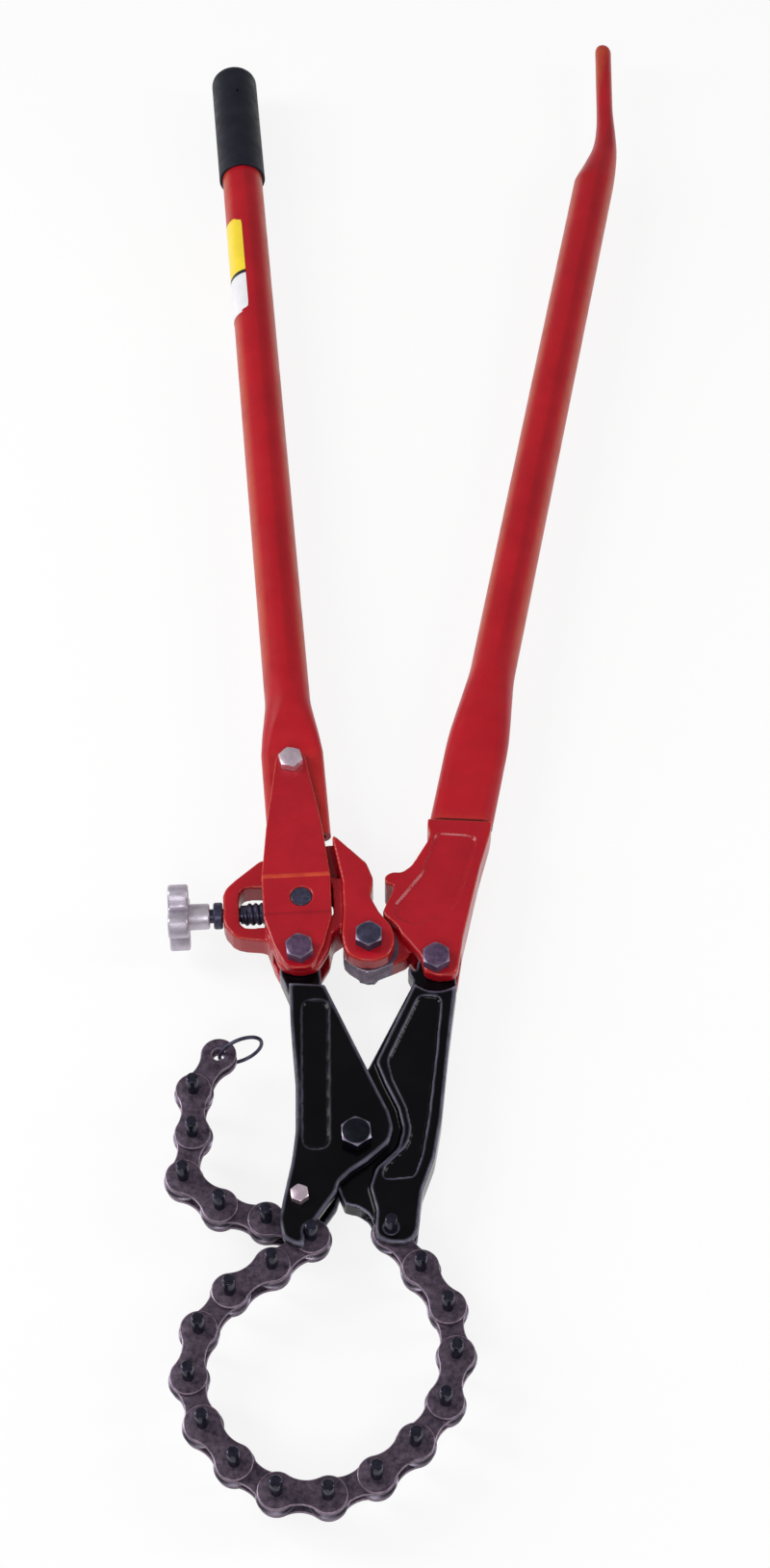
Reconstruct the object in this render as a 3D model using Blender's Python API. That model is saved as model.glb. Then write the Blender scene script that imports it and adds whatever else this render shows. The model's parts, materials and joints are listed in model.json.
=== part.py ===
"""Soil pipe cutter: two tube handles work a toggle that draws a chain of cutting wheels tight round a pipe.

Sizes are in millimetres and are turned into metres where a mesh is made. The frame: the origin is on the
axis of the jaw pivot, in the plane that the bolt ends rest on; +Y runs up the tool towards the handles;
+Z points to the front of the tool, where the bolt heads are.
"""
from math import cos, degrees, pi, radians, sin, sqrt, tan

import bmesh
import bpy
from mathutils import Matrix, Vector

MM = 0.001
GAP = 0.3
FACETS = 20

# Heights above and below the tool's middle plane.
MID_HEIGHT = 34.0
LINK_ARM_HALF = 8.0
CHEEK_INNER_HALF = 8.7
LEFT_JAW_HALF = 16.0
RIGHT_JAW_HALF = 11.0
TONGUE_HALF = CHEEK_INNER_HALF - GAP
YOKE_BODY_HALF = 15.6
YOKE_ARM_HALF = 21.0
YOKE_FLANGE_HALF = 9.5
REAR_ARM_REACH = 17.0
CASTING_HALF = 18.0
HANDLE_PLATE = 6.0
SOCKET_LIP_HALF = 12.0
PANEL_DEPTH = 2.0

# The toggle linkage: jaw pivot to link bolt, link bolt to toggle bolt, and how far apart the link bolts stand.
JAW_ARM = 142.0
TOGGLE_LINK = 48.3
LINK_BOLT_HALF_SPREAD = 46.6
TOGGLE_SLACK = 1.9

# Bolts: shank radius, width across flats, head and nut thickness.
PIVOT_BOLT = {"shank": 6.35, "flats": 19.0, "head": 8.1, "nut": 11.0}
LINK_BOLT = {"shank": 5.6, "flats": 17.5, "head": 8.0, "nut": 9.4}
HANDLE_BOLT = {"shank": 4.8, "flats": 15.5, "head": 6.5, "nut": 8.0}
KEEPER_BOLT = {"shank": 3.2, "flats": 11.0, "head": 5.5}
HANDLE_BOLT_END = 25.0

# Handles.
TUBE_RADIUS = 16.7
TUBE_WALL = 3.4
LEFT_TUBE_LEAN = 8.2
RIGHT_TUBE_LEAN = 7.75
PLATE_LEAN = 6.3
HANDLE_BOLT_REACH = 162.9
LEFT_TUBE_ABOVE_BOLT = 736.0
LEFT_TUBE_BELOW_BOLT = 58.0
LEFT_FLAT_HALF_WIDTH = 22.5
LEFT_FLAT_HALF_THICK = 6.5
RIGHT_FLAT_HALF_WIDTH = 22.4
RIGHT_FLAT_HALF_THICK = 9.5
RIGHT_TUBE_START = 120.2
RIGHT_AXIS_OFFSET = -3.6
LEFT_AXIS_OFFSET = 1.7
TIP_RADIUS = 7.0
GRIP_RADIUS = 19.3
GRIP_LENGTH = 125.0
GRIP_CAP = 3.0

# The adjuster between the yoke and the left handle.
TRUNNION_REACH = 44.0
TRUNNION_OFFSET = 3.0
TRUNNION_BARREL = 12.5
TRUNNION_JOURNAL = 7.3
SCREW_LEAN = 6.0
SCREW_RADIUS = 7.9
SCREW_PITCH = 4.2
THREAD_DEPTH = 1.3
NECK_RADIUS = 5.0
KNOB_REACH = 85.5
KNOB_RADIUS = 23.5
KNOB_THICK = 14.0

# The chain.
PITCH = 31.75
PIN_RADIUS = 4.0
PIN_HALF = 25.0
PLATE_END_RADIUS = 12.0
PLATE_WAIST = 7.8
INNER_PLATE = (2.8, 5.3)
OUTER_PLATE = (5.6, 8.1)
BUSH_RADIUS = 5.6
WHEEL_RADIUS = 13.2
WHEEL_HUB_RADIUS = 9.0
WHEEL_HALF = 2.5
WHEEL_EDGE = 0.25
CHAIN_FACETS = 10
ANCHOR_PIN = (26.0, -61.0)
LOOP_HEADINGS = (-50.5, -54.7, -78, -100.2, -123, -135.9, -153.9, 178.7, 148.5, 132.9, 110.9, 83.8, 56.9, 37.2, 41.1)
TAIL_HEADINGS = (160.9, 165.7, 142.9, 84.6, 94.3, 63.7)
RING_RADIUS = 15.0
RING_WIRE = 1.5
RING_PULL = 0.6
RING_HEADING = 25.0

# Places worked out from the sizes above.
PIVOT = (0.0, 0.0)
BOLT_RISE = sqrt(JAW_ARM ** 2 - LINK_BOLT_HALF_SPREAD ** 2)
TOGGLE_RISE = sqrt(TOGGLE_LINK ** 2 - LINK_BOLT_HALF_SPREAD ** 2)
LEFT_BOLT = (-LINK_BOLT_HALF_SPREAD, BOLT_RISE)
RIGHT_BOLT = (LINK_BOLT_HALF_SPREAD, BOLT_RISE)
TOGGLE_BOLT = (0.0, BOLT_RISE + TOGGLE_RISE)
PLATE_INNER_HALF = YOKE_BODY_HALF + GAP
PLATE_OUTER_HALF = PLATE_INNER_HALF + HANDLE_PLATE
PLATE_DROP = PLATE_INNER_HALF - (LEFT_FLAT_HALF_THICK + GAP)
PLATE_RIDGE = 60.0
PLATE_BEND = HANDLE_BOLT_REACH - 15.0


def along(origin, heading, distance):
    """The point that lies a distance from origin, at a heading in degrees counted from +X."""
    return (origin[0] + distance * cos(radians(heading)), origin[1] + distance * sin(radians(heading)))


def in_axes(origin, lean, across, up):
    """A point given across and up an axis that leaves origin leaning this many degrees to the left of +Y."""
    foot = along(origin, 90 + lean, up)
    return along(foot, lean, across)


def chain_points():
    """The places of the chain's pins, and of the hole that holds the ring, from the anchor pin on."""
    points = [ANCHOR_PIN]
    for heading in LOOP_HEADINGS + TAIL_HEADINGS:
        points.append(along(points[-1], heading, PITCH))
    return points


PINS = chain_points()
HOOKED_PIN = PINS[len(LOOP_HEADINGS)]
HANDLE_BOLT_AT = in_axes(LEFT_BOLT, PLATE_LEAN, 0.0, HANDLE_BOLT_REACH)
LEFT_TUBE_FOOT = in_axes(HANDLE_BOLT_AT, LEFT_TUBE_LEAN, LEFT_AXIS_OFFSET, 0.0)
TRUNNION_AT = in_axes(LEFT_BOLT, PLATE_LEAN, TRUNNION_OFFSET, TRUNNION_REACH)
SCREW_HEADING = 180.0 + SCREW_LEAN
RIGHT_TUBE_FOOT = (RIGHT_BOLT[0] + RIGHT_AXIS_OFFSET, RIGHT_BOLT[1])


# Mesh helpers.

def material(name, colour, roughness, metallic):
    made = bpy.data.materials.new(name)
    made.use_nodes = True
    shader = made.node_tree.nodes["Principled BSDF"]
    shader.inputs["Base Color"].default_value = (*colour, 1.0)
    shader.inputs["Roughness"].default_value = roughness
    shader.inputs["Metallic"].default_value = metallic
    return made


def rounded(corners):
    """An outline as a list of points. A corner written (x, y, radius) is rounded; (x, y) stays sharp."""
    points = []
    count = len(corners)
    for index, corner in enumerate(corners):
        here = Vector(corner[:2])
        radius = corner[2] if len(corner) > 2 else 0.0
        if not radius:
            points.append(tuple(here))
            continue
        back = Vector(corners[index - 1][:2]) - here
        ahead = Vector(corners[(index + 1) % count][:2]) - here
        half = back.angle(ahead) / 2
        reach = min(radius / tan(half), 0.49 * back.length, 0.49 * ahead.length)
        start = here + back.normalized() * reach
        end = here + ahead.normalized() * reach
        steps = max(1, round(degrees(pi - 2 * half) / 30))
        for step in range(steps + 1):
            t = step / steps
            points.append(tuple((1 - t) ** 2 * start + 2 * t * (1 - t) * here + t * t * end))
    return points


def circle(centre, radius, facets=FACETS, start=0.0, sweep=360.0):
    """Points round a circle, or along an arc with both its ends."""
    steps = facets if sweep == 360.0 else max(1, round(facets * abs(sweep) / 360))
    count = steps if sweep == 360.0 else steps + 1
    return [along(centre, start + sweep * i / steps, radius) for i in range(count)]


def prism(outline, low, high, bevel=0.0):
    """A closed bmesh: an outline in plan, from one height above the middle plane to another."""
    bm = bmesh.new()
    bottom = [bm.verts.new((x * MM, y * MM, (MID_HEIGHT + low) * MM)) for x, y in outline]
    face = bm.faces.new(bottom)
    grown = bmesh.ops.extrude_face_region(bm, geom=[face])["geom"]
    top = [v for v in grown if isinstance(v, bmesh.types.BMVert)]
    bmesh.ops.translate(bm, verts=top, vec=(0, 0, (high - low) * MM))
    bmesh.ops.recalc_face_normals(bm, faces=bm.faces)
    if bevel:
        rims = [e for e in bm.edges if abs(e.verts[0].co.z - e.verts[1].co.z) < 1e-6]
        bmesh.ops.bevel(
            bm, geom=rims, offset=bevel * MM, affect="EDGES", segments=1, profile=0.5, material=-1
        )
    return bm


def turned(profile, facets=FACETS):
    """A closed bmesh turned about Z from (radius, height) points; a profile off the axis makes a ring."""
    bm = bmesh.new()
    loop = [bm.verts.new((r * MM, 0, z * MM)) for r, z in profile]
    edges = [bm.edges.new((loop[i - 1], loop[i])) for i in range(1, len(loop))]
    if min(r for r, _ in profile) > 1e-9:
        edges.append(bm.edges.new((loop[-1], loop[0])))
    bmesh.ops.spin(
        bm, geom=loop + edges, cent=(0, 0, 0), axis=(0, 0, 1), angle=2 * pi, steps=facets, use_merge=True
    )
    bmesh.ops.remove_doubles(bm, verts=bm.verts, dist=1e-6)
    bmesh.ops.recalc_face_normals(bm, faces=bm.faces)
    return bm


def lofted(rings, open_ends=False):
    """A bmesh through rings of points, all with the same count, closed at both ends."""
    bm = bmesh.new()
    rows = [[bm.verts.new(Vector(p) * MM) for p in ring] for ring in rings]
    for lower, upper in zip(rows, rows[1:]):
        count = len(lower)
        for i in range(count):
            j = (i + 1) % count
            bm.faces.new((lower[i], lower[j], upper[j], upper[i]))
    if not open_ends:
        bm.faces.new(rows[0][::-1])
        bm.faces.new(rows[-1])
    bmesh.ops.recalc_face_normals(bm, faces=bm.faces)
    return bm


def named(bm, name, finish, place=None):
    """Turns a bmesh into an object, with its origin at a plan point on the tool's middle plane."""
    bmesh.ops.recalc_face_normals(bm, faces=bm.faces)
    mesh = bpy.data.meshes.new(name)
    if place is not None:
        origin = Vector((place[0] * MM, place[1] * MM, MID_HEIGHT * MM))
        bmesh.ops.translate(bm, verts=bm.verts, vec=-origin)
    bm.to_mesh(mesh)
    bm.free()
    mesh.shade_smooth()
    mesh.set_sharp_from_angle(angle=radians(30))
    made = bpy.data.objects.new(name, mesh)
    if place is not None:
        made.location = origin
    if finish is not None:
        mesh.materials.append(finish)
    bpy.context.collection.objects.link(made)
    return made


def tool(bm, name):
    """A hidden object that only cuts or joins."""
    made = named(bm, name, None)
    made.hide_render = True
    made.display_type = "WIRE"
    return made


def combine(target, operation, cutter):
    step = target.modifiers.new(cutter.name, "BOOLEAN")
    step.operation = operation
    step.solver = "EXACT"
    step.object = cutter


def cut(target, bm, name):
    combine(target, "DIFFERENCE", tool(bm, f"{target.name}_{name}"))


def join(target, bm, name):
    combine(target, "UNION", tool(bm, f"{target.name}_{name}"))


def round_bar(centre, radius, low, high, facets=FACETS):
    return prism(circle(centre, radius, facets), low, high)


def hole(target, centre, radius, name, facets=FACETS):
    reach = MID_HEIGHT + PIN_HALF
    cut(target, round_bar(centre, radius, -reach, reach, facets), name)


def hexagon(centre, flats, turn=0.0):
    return circle(centre, flats / sqrt(3), 6, start=turn)


def bolt(name, finish, centre, sizes, top, end, turn=0.0):
    """A hex bolt whose head sits on a face at height top and whose shank ends at height end."""
    chamfer = 0.08 * sizes["flats"]
    made = named(prism(hexagon(centre, sizes["flats"], turn), top, top + sizes["head"], 0.0), name, finish, centre)
    shank = prism(circle(centre, sizes["shank"], 20), end, top + chamfer)
    join(made, shank, "shank")
    return made


def nut(name, finish, centre, sizes, top, turn=0.0):
    """A hex nut whose upper face is at height top, with a running gap round the bolt."""
    made = named(prism(hexagon(centre, sizes["flats"], turn), top - sizes["nut"], top), name, finish, centre)
    hole(made, centre, sizes["shank"] + GAP, "thread", 20)
    return made


# The jaws.

def left_jaw(finish):
    """A forged jaw: a solid upper half, and two cheeks below that straddle the other jaw and the chain."""
    x, y = HOOKED_PIN
    ax, ay = LEFT_BOLT
    notch = PIN_RADIUS + 0.8
    body = rounded([
        (ax - 5.8, ay - 21.0), (-49.1, 82.0, 20), (-42.6, 38.0, 20), (-40.0, 2.0, 20), (-41.0, -19.0, 20),
        (-44.7, -47.0, 10), (-46.1, -61.0, 8), (x - 18.0, y - 6.0, 6), (x - 9.0, y - 10.5, 5),
        (x - 3.8, y - 9.5, 2), (x - 3.8, y - notch * 0.75),
        *circle((x, y), notch, 20, start=208, sweep=-128),
        (x + 4.0, y + 10.0, 4), (-10.5, -40.5, 5), (-9.0, -33.0, 5), (-2.0, -25.0, 8), (8.0, -17.0, 8),
        (22.0, -2.5, 5), (24.0, 8.5, 8), (20.5, 20.0, 8), (12.0, 36.0), (4.0, 51.5), (ax + 18.6, ay - 21.0),
    ])
    made = named(prism(body, -LEFT_JAW_HALF, LEFT_JAW_HALF, 1.2), "left_jaw", finish, PIVOT)
    arm = rounded([
        (ax - 6.0, ay - 26.0), (ax - 13.5, ay - 10.0, 6), (ax - 12.0, ay + 10.0, 10),
        (ax + 12.0, ay + 10.0, 10),
        (ax + 15.0, ay - 10.0, 6), (ax + 17.6, ay - 26.0),
    ])
    join(made, prism(arm, -LINK_ARM_HALF, LINK_ARM_HALF), "arm")
    slot = [(-90, 33), (-90, -110), (60, -110), (60, 62), (-9.0, 62), (-27.0, 33)]
    cut(made, prism(slot, -CHEEK_INNER_HALF, CHEEK_INNER_HALF), "slot")
    groove = rounded([
        (ax + 4.6, ay - 35.0, 6), (ax + 21.6, ay - 34.0, 6), (-17.5, -9.0, 6), (-33.5, -10.0, 6),
    ])
    cut(made, prism(groove, LEFT_JAW_HALF - 1.5, LEFT_JAW_HALF + 5), "front_panel")
    cut(made, prism(groove, -LEFT_JAW_HALF - 5, -LEFT_JAW_HALF + 1.5), "rear_panel")
    hole(made, PIVOT, PIVOT_BOLT["shank"] + GAP, "pivot_hole")
    hole(made, LEFT_BOLT, LINK_BOLT["shank"] + GAP, "link_hole", 20)
    hole(made, KEEPER_AT, KEEPER_BOLT["shank"] + GAP, "keeper_hole", 16)
    return made


KEEPER_AT = (-33.9, -44.5)


def right_jaw(finish):
    """A forged jaw: a tongue that works between the other jaw's cheeks, a thicker body and a forked pad."""
    x, y = ANCHOR_PIN
    bx, by = RIGHT_BOLT
    right_side = [
        (x + 17.2, y - 4.0, 8), (x + 17.6, y + 6.8, 8), (45.0, -34.0, 12), (52.1, -9.7, 20), (55.3, 18.4, 30),
        (57.8, 68.7, 30),
    ]
    tongue = rounded([
        (bx - 13.5, by - 5.0, 3), (bx - 18.5, by + 1.5, 3), (bx - 19.0, by - 4.0, 2),
        (bx - 14.5, by - 12.0, 3),
        (5.0, 55.0), (-18.0, 13.0, 10), (-20.0, 0.0, 10), (-15.0, -18.0, 10),
        (-9.0, -36.0, 6), (-5.0, -45.0, 3), (4.0, -46.5, 6), (11.0, -51.0, 6), (x - 10.3, y + 1.0, 4),
        (x - 9.5, y - 7.0, 6), (x, y - 10.5, 8), (x + 11.0, y - 10.0, 6), *right_side,
        (bx + 15.0, by - 14.0, 10), (bx + 12.0, by + 10.5, 10), (bx - 12.0, by + 10.5, 10),
    ])
    made = named(prism(tongue, -LINK_ARM_HALF, LINK_ARM_HALF), "right_jaw", finish, PIVOT)
    body = rounded([
        (bx - 12.5, by - 10.0), (9.5, 58.0, 4), (16.5, 42.0, 6), (26.0, 24.0, 8), (30.0, 9.0, 8),
        (27.5, -4.0, 6), (14.0, -19.0, 6), (10.5, -33.0, 6), (x - 10.3, y + 12.0, 6), (x - 10.3, y + 1.0, 4),
        (x - 9.5, y - 7.0, 6), (x, y - 10.5, 8), (x + 11.0, y - 10.0, 6), *right_side,
        (bx + 14.5, by - 10.0),
    ])
    join(made, prism(body, -RIGHT_JAW_HALF, RIGHT_JAW_HALF, 1.0), "body")
    relief = round_bar(RIGHT_BOLT, 20.0, LINK_ARM_HALF, RIGHT_JAW_HALF + 5)
    cut(made, relief, "front_relief")
    cut(made, round_bar(RIGHT_BOLT, 20.0, -RIGHT_JAW_HALF - 5, -LINK_ARM_HALF), "rear_relief")
    top = y + WHEEL_RADIUS + 1.0
    fork = [(6.0, y - 20.0), (60.0, y - 20.0), (60.0, top), (6.0, top)]
    slot_half = INNER_PLATE[1] + 0.5
    cut(made, prism(fork, -slot_half, slot_half), "fork")
    web = rounded([
        (bx - 10.0, by - 24.0, 5), (bx + 4.5, by - 24.0, 5), (49.5, 66.0, 10), (46.5, 18.0, 20),
        (43.5, -8.0, 10),
        (39.0, -24.0, 4), (19.0, -27.0, 4), (20.0, -18.5, 6), (34.0, -2.0, 10), (36.0, 10.0, 10),
        (32.0, 26.0, 12), (22.0, 46.0, 10), (18.0, 60.0, 8),
    ])
    cut(made, prism(web, RIGHT_JAW_HALF - 2.0, RIGHT_JAW_HALF + 5), "front_panel")
    cut(made, prism(web, -RIGHT_JAW_HALF - 5, -RIGHT_JAW_HALF + 2.0), "rear_panel")
    hole(made, PIVOT, PIVOT_BOLT["shank"] + GAP, "pivot_hole")
    hole(made, RIGHT_BOLT, LINK_BOLT["shank"] + GAP, "link_hole", 20)
    hole(made, ANCHOR_PIN, PIN_RADIUS + GAP, "anchor_hole", CHAIN_FACETS)
    return made


def jaw_fasteners(dark, zinc):
    bolt("pivot_bolt", dark, PIVOT, PIVOT_BOLT, LEFT_JAW_HALF + GAP, -MID_HEIGHT, 8.0)
    nut("pivot_nut", dark, PIVOT, PIVOT_BOLT, -LEFT_JAW_HALF - GAP, 21.0)
    keeper = bolt("keeper_bolt", zinc, KEEPER_AT, KEEPER_BOLT, LEFT_JAW_HALF + GAP, -LEFT_JAW_HALF - 2.0, 12.0)
    spacer_half = CHEEK_INNER_HALF - GAP
    join(keeper, round_bar(KEEPER_AT, KEEPER_BOLT["shank"] + 2.0, -spacer_half, spacer_half, 16), "spacer")


# The yoke and the adjuster.

def screw_axis_matrix():
    """Carries +Z of a turned piece onto the screw's axis, towards the knob, with zero at the trunnion."""
    place = Vector((TRUNNION_AT[0], TRUNNION_AT[1], MID_HEIGHT)) * MM
    heading = Vector((cos(radians(SCREW_HEADING)), sin(radians(SCREW_HEADING)), 0))
    turn = Vector((0, 0, 1)).rotation_difference(heading)
    return Matrix.Translation(place) @ turn.to_matrix().to_4x4()


def on_screw(bm):
    bmesh.ops.transform(bm, matrix=screw_axis_matrix(), verts=bm.verts)
    return bm


SCREW_FACE = 54.5
WINDOW_NEAR = 43.5
WINDOW_FAR = -22.0
WINDOW_HALF = 17.0
WINDOW_FAR_HALF = TRUNNION_BARREL + 0.9


def screw_point(distance, side):
    """A plan point given along the screw from the trunnion, and to the side that faces the handles."""
    foot = along(TRUNNION_AT, SCREW_HEADING, distance)
    return along(foot, 90.0 + SCREW_LEAN, side)


def yoke(finish):
    """The casting between the handle plates: ears on the left jaw's arm, a window for the trunnion and
    screw, and a forked arm that reaches the toggle bolt."""
    ax, ay = LEFT_BOLT
    dx, dy = TOGGLE_BOLT
    body = rounded([
        screw_point(SCREW_FACE, 14.0) + (8,), screw_point(SCREW_FACE, -12.5) + (8,), (ax - 45.4, ay + 15.4, 8),
        (ax - 22.5, ay + 14.0, 6), (ax - 13.0, ay - 9.0, 8), (ax, ay - 13.0, 8), (ax + 13.0, ay - 9.0, 8),
        (ax + 20.0, ay + 5.9, 6), (ax + 21.6, ay + 19.9, 3), (ax + 29.6, ay + 26.9, 2),
        (ax + 29.6, ay + 62.9, 2), (ax + 16.6, ay + 65.4, 3),
        (ax + 11.6, ay + 79.9, 6), (ax - 33.0, ay + 79.9, 8), (ax - 51.9, ay + 59.9, 6),
    ])
    made = named(prism(body, -YOKE_BODY_HALF, YOKE_BODY_HALF, 1.2), "yoke", finish, LEFT_BOLT)
    far = PLATE_RIDGE + 46.0
    slope_end = YOKE_BODY_HALF - PLATE_DROP * (far - PLATE_RIDGE) / (PLATE_BEND - PLATE_RIDGE)
    for side, name in ((1, "front_slope"), (-1, "rear_slope")):
        way = turned([(PLATE_RIDGE - 1.0, side * (YOKE_BODY_HALF + 5)), (PLATE_RIDGE - 1.0, side * YOKE_BODY_HALF),
                      (far, side * slope_end), (far, side * (YOKE_BODY_HALF + 5))], 48)
        bmesh.ops.translate(way, verts=way.verts, vec=Vector((ax, ay, MID_HEIGHT)) * MM)
        cut(made, way, name)
    arm = rounded([
        (ax + 15.1, ay + 98.4, 2), (ax + 22.1, ay + 71.9, 6), (ax + 25.6, ay + 58.9, 4),
        (ax + 28.1, ay + 33.9, 8), (dx - 18.5, dy + 2.0, 10),
        (dx - 15.0, dy - 12.5, 10), (dx, dy - 18.5, 12), (dx + 15.0, dy - 12.5, 10),
        (dx + 18.5, dy + 2.0, 10),
        (dx + 14.0, dy + 13.0, 4), (dx + 6.0, dy + 22.2, 4), (dx - 1.0, dy + 34.7, 4),
        (dx + 0.6, dy + 48.7, 6), (dx - 5.0, dy + 61.7, 4),
    ])
    join(made, prism(arm, -LINK_ARM_HALF + 1.7, YOKE_ARM_HALF, 0.4), "front_arm")
    rear_arm = rounded([
        (ax + 20.6, ay + 70.6, 6), (ax + 24.0, ay + 57.0, 4), (ax + 26.2, ay + 32.0, 8), (dx - 13.0, dy + 6.0, 8),
        (dx - 11.5, dy - 8.5, 8), (dx, dy - 13.0, 9), (dx + 11.5, dy - 8.5, 8), (dx + 12.5, dy + 4.0, 8),
        (dx + 5.0, dy + 16.0, 6), (dx - 5.0, dy + 34.0, 6), (dx - 11.0, dy + 56.0, 6),
    ])
    web = rounded([
        (ax - 16.0, ay + 58.0), (ax + 24.0, ay + 58.0), (ax + 22.0, ay + 80.0), (ax + 16.5, ay + 96.5, 2),
        (ax + 8.0, ay + 95.0, 5), (ax - 16.0, ay + 74.0),
    ])
    join(made, prism(web, -LINK_ARM_HALF + 0.5, LINK_ARM_HALF - 0.5, 1.0), "web")
    join(made, prism(rear_arm, -REAR_ARM_REACH, -4.4, 1.2), "rear_arm")
    for side, name in ((1, "front_step"), (-1, "rear_step")):
        beyond = [screw_point(24.0, -70.0), screw_point(24.0, 70.0), screw_point(SCREW_FACE + 30.0, 70.0),
                  screw_point(SCREW_FACE + 30.0, -70.0)]
        low, high = sorted((side * YOKE_FLANGE_HALF, side * (YOKE_BODY_HALF + 5.0)))
        cut(made, prism(beyond, low, high), name)
    window = rounded([
        screw_point(WINDOW_FAR, -WINDOW_FAR_HALF) + (4,), screw_point(WINDOW_FAR, WINDOW_FAR_HALF) + (4,),
        screw_point(WINDOW_NEAR, WINDOW_HALF) + (8,), screw_point(WINDOW_NEAR, -WINDOW_HALF) + (8,),
    ])
    cut(made, prism(window, -YOKE_ARM_HALF - 5, YOKE_ARM_HALF + 5), "window")
    cut(made, round_bar(LEFT_BOLT, 20.5, -LINK_ARM_HALF - GAP, LINK_ARM_HALF + GAP), "jaw_arm_slot")
    below = [(ax - 33.0, ay - 44.0), (ax + 32.0, ay - 44.0), (ax + 22.6, ay + 5.9), (ax - 21.4, ay + 5.9)]
    cut(made, prism(below, -LINK_ARM_HALF - GAP, LINK_ARM_HALF + GAP), "jaw_arm_way")
    fork = [
        *circle(TOGGLE_BOLT, 23.0, FACETS, start=110, sweep=160), (dx + 60.0, dy - 57.0), (dx + 60.0, dy + 26.2),
        (dx + 4.0, dy + 26.2),
    ]
    cut(made, prism(fork, -LINK_ARM_HALF - GAP, LINK_ARM_HALF + GAP), "toggle_fork")
    screw_way = on_screw(turned([(0, WINDOW_NEAR - 8), (NECK_RADIUS + GAP, WINDOW_NEAR - 8),
                                 (NECK_RADIUS + GAP, SCREW_FACE + 12), (0, SCREW_FACE + 12)]))
    cut(made, screw_way, "screw_way")
    hole(made, LEFT_BOLT, LINK_BOLT["shank"] + GAP, "link_hole", 20)
    hole(made, TOGGLE_BOLT, LINK_BOLT["shank"] + GAP, "toggle_hole", 20)
    return made


def adjuster(dark, zinc):
    """The screw, held by a collar each side of the yoke's wall, the trunnion that it drives and its knob."""
    wall_in = WINDOW_NEAR - GAP
    wall_out = SCREW_FACE + GAP
    thread = []
    depth = THREAD_DEPTH
    along_screw = wall_in - 1.5
    end = WINDOW_FAR + 2.0
    while along_screw - SCREW_PITCH > end:
        thread += [(SCREW_RADIUS - depth, along_screw), (SCREW_RADIUS, along_screw - SCREW_PITCH / 2)]
        along_screw -= SCREW_PITCH
    profile = [(0, KNOB_REACH + KNOB_THICK / 2 - 2.0), (NECK_RADIUS, KNOB_REACH + KNOB_THICK / 2 - 2.0),
               (NECK_RADIUS, wall_out + 6.0), (8.6, wall_out + 6.0), (8.6, wall_out), (NECK_RADIUS, wall_out),
               (NECK_RADIUS, wall_in), (SCREW_RADIUS, wall_in), *thread,
               (SCREW_RADIUS - depth, along_screw), (SCREW_RADIUS - depth, end), (0, end)]
    named(on_screw(turned(profile, 12)), "adjusting_screw", dark, TRUNNION_AT)

    barrel = named(round_bar(TRUNNION_AT, TRUNNION_BARREL, -YOKE_BODY_HALF + GAP, YOKE_BODY_HALF - GAP),
                   "trunnion", dark, TRUNNION_AT)
    join(barrel, round_bar(TRUNNION_AT, TRUNNION_JOURNAL, -PLATE_OUTER_HALF, PLATE_OUTER_HALF), "journals")
    reach = TRUNNION_BARREL + 10
    cross = turned([(0, -reach), (SCREW_RADIUS + 1.0, -reach), (SCREW_RADIUS + 1.0, reach), (0, reach)], 16)
    cut(barrel, on_screw(cross), "thread")

    lobes = []
    lobe_count = 4
    steps = 9 * lobe_count
    for step in range(steps):
        angle = 360.0 * step / steps
        wave = cos(radians(lobe_count * angle))
        lobes.append(along((0, 0), angle, KNOB_RADIUS - 4.5 + 4.5 * max(wave, -0.6)))
    star = bmesh.new()
    base = [star.verts.new((px * MM, py * MM, 0)) for px, py in lobes]
    grown = bmesh.ops.extrude_face_region(star, geom=[star.faces.new(base)])["geom"]
    bmesh.ops.translate(star, verts=[v for v in grown if isinstance(v, bmesh.types.BMVert)],
                        vec=(0, 0, KNOB_THICK * MM))
    rims = [e for e in star.edges if abs(e.verts[0].co.z - e.verts[1].co.z) < 1e-6]
    bmesh.ops.bevel(star, geom=rims, offset=2.0 * MM, affect="EDGES", segments=1, profile=0.5, material=-1)
    bmesh.ops.translate(star, verts=star.verts, vec=(0, 0, (KNOB_REACH - KNOB_THICK / 2) * MM))
    knob = named(on_screw(star), "star_knob", zinc, TRUNNION_AT)
    hub = turned([(0, wall_out + 9.5), (8.6, wall_out + 9.5), (9.4, wall_out + 11.0), (9.6, KNOB_REACH), (0, KNOB_REACH)],
                 20)
    join(knob, on_screw(hub), "hub")
    bore = turned([(0, wall_out), (NECK_RADIUS + GAP, wall_out), (NECK_RADIUS + GAP, KNOB_REACH + KNOB_THICK),
                   (0, KNOB_REACH + KNOB_THICK)], 16)
    cut(knob, on_screw(bore), "bore")


# The left handle.

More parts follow.
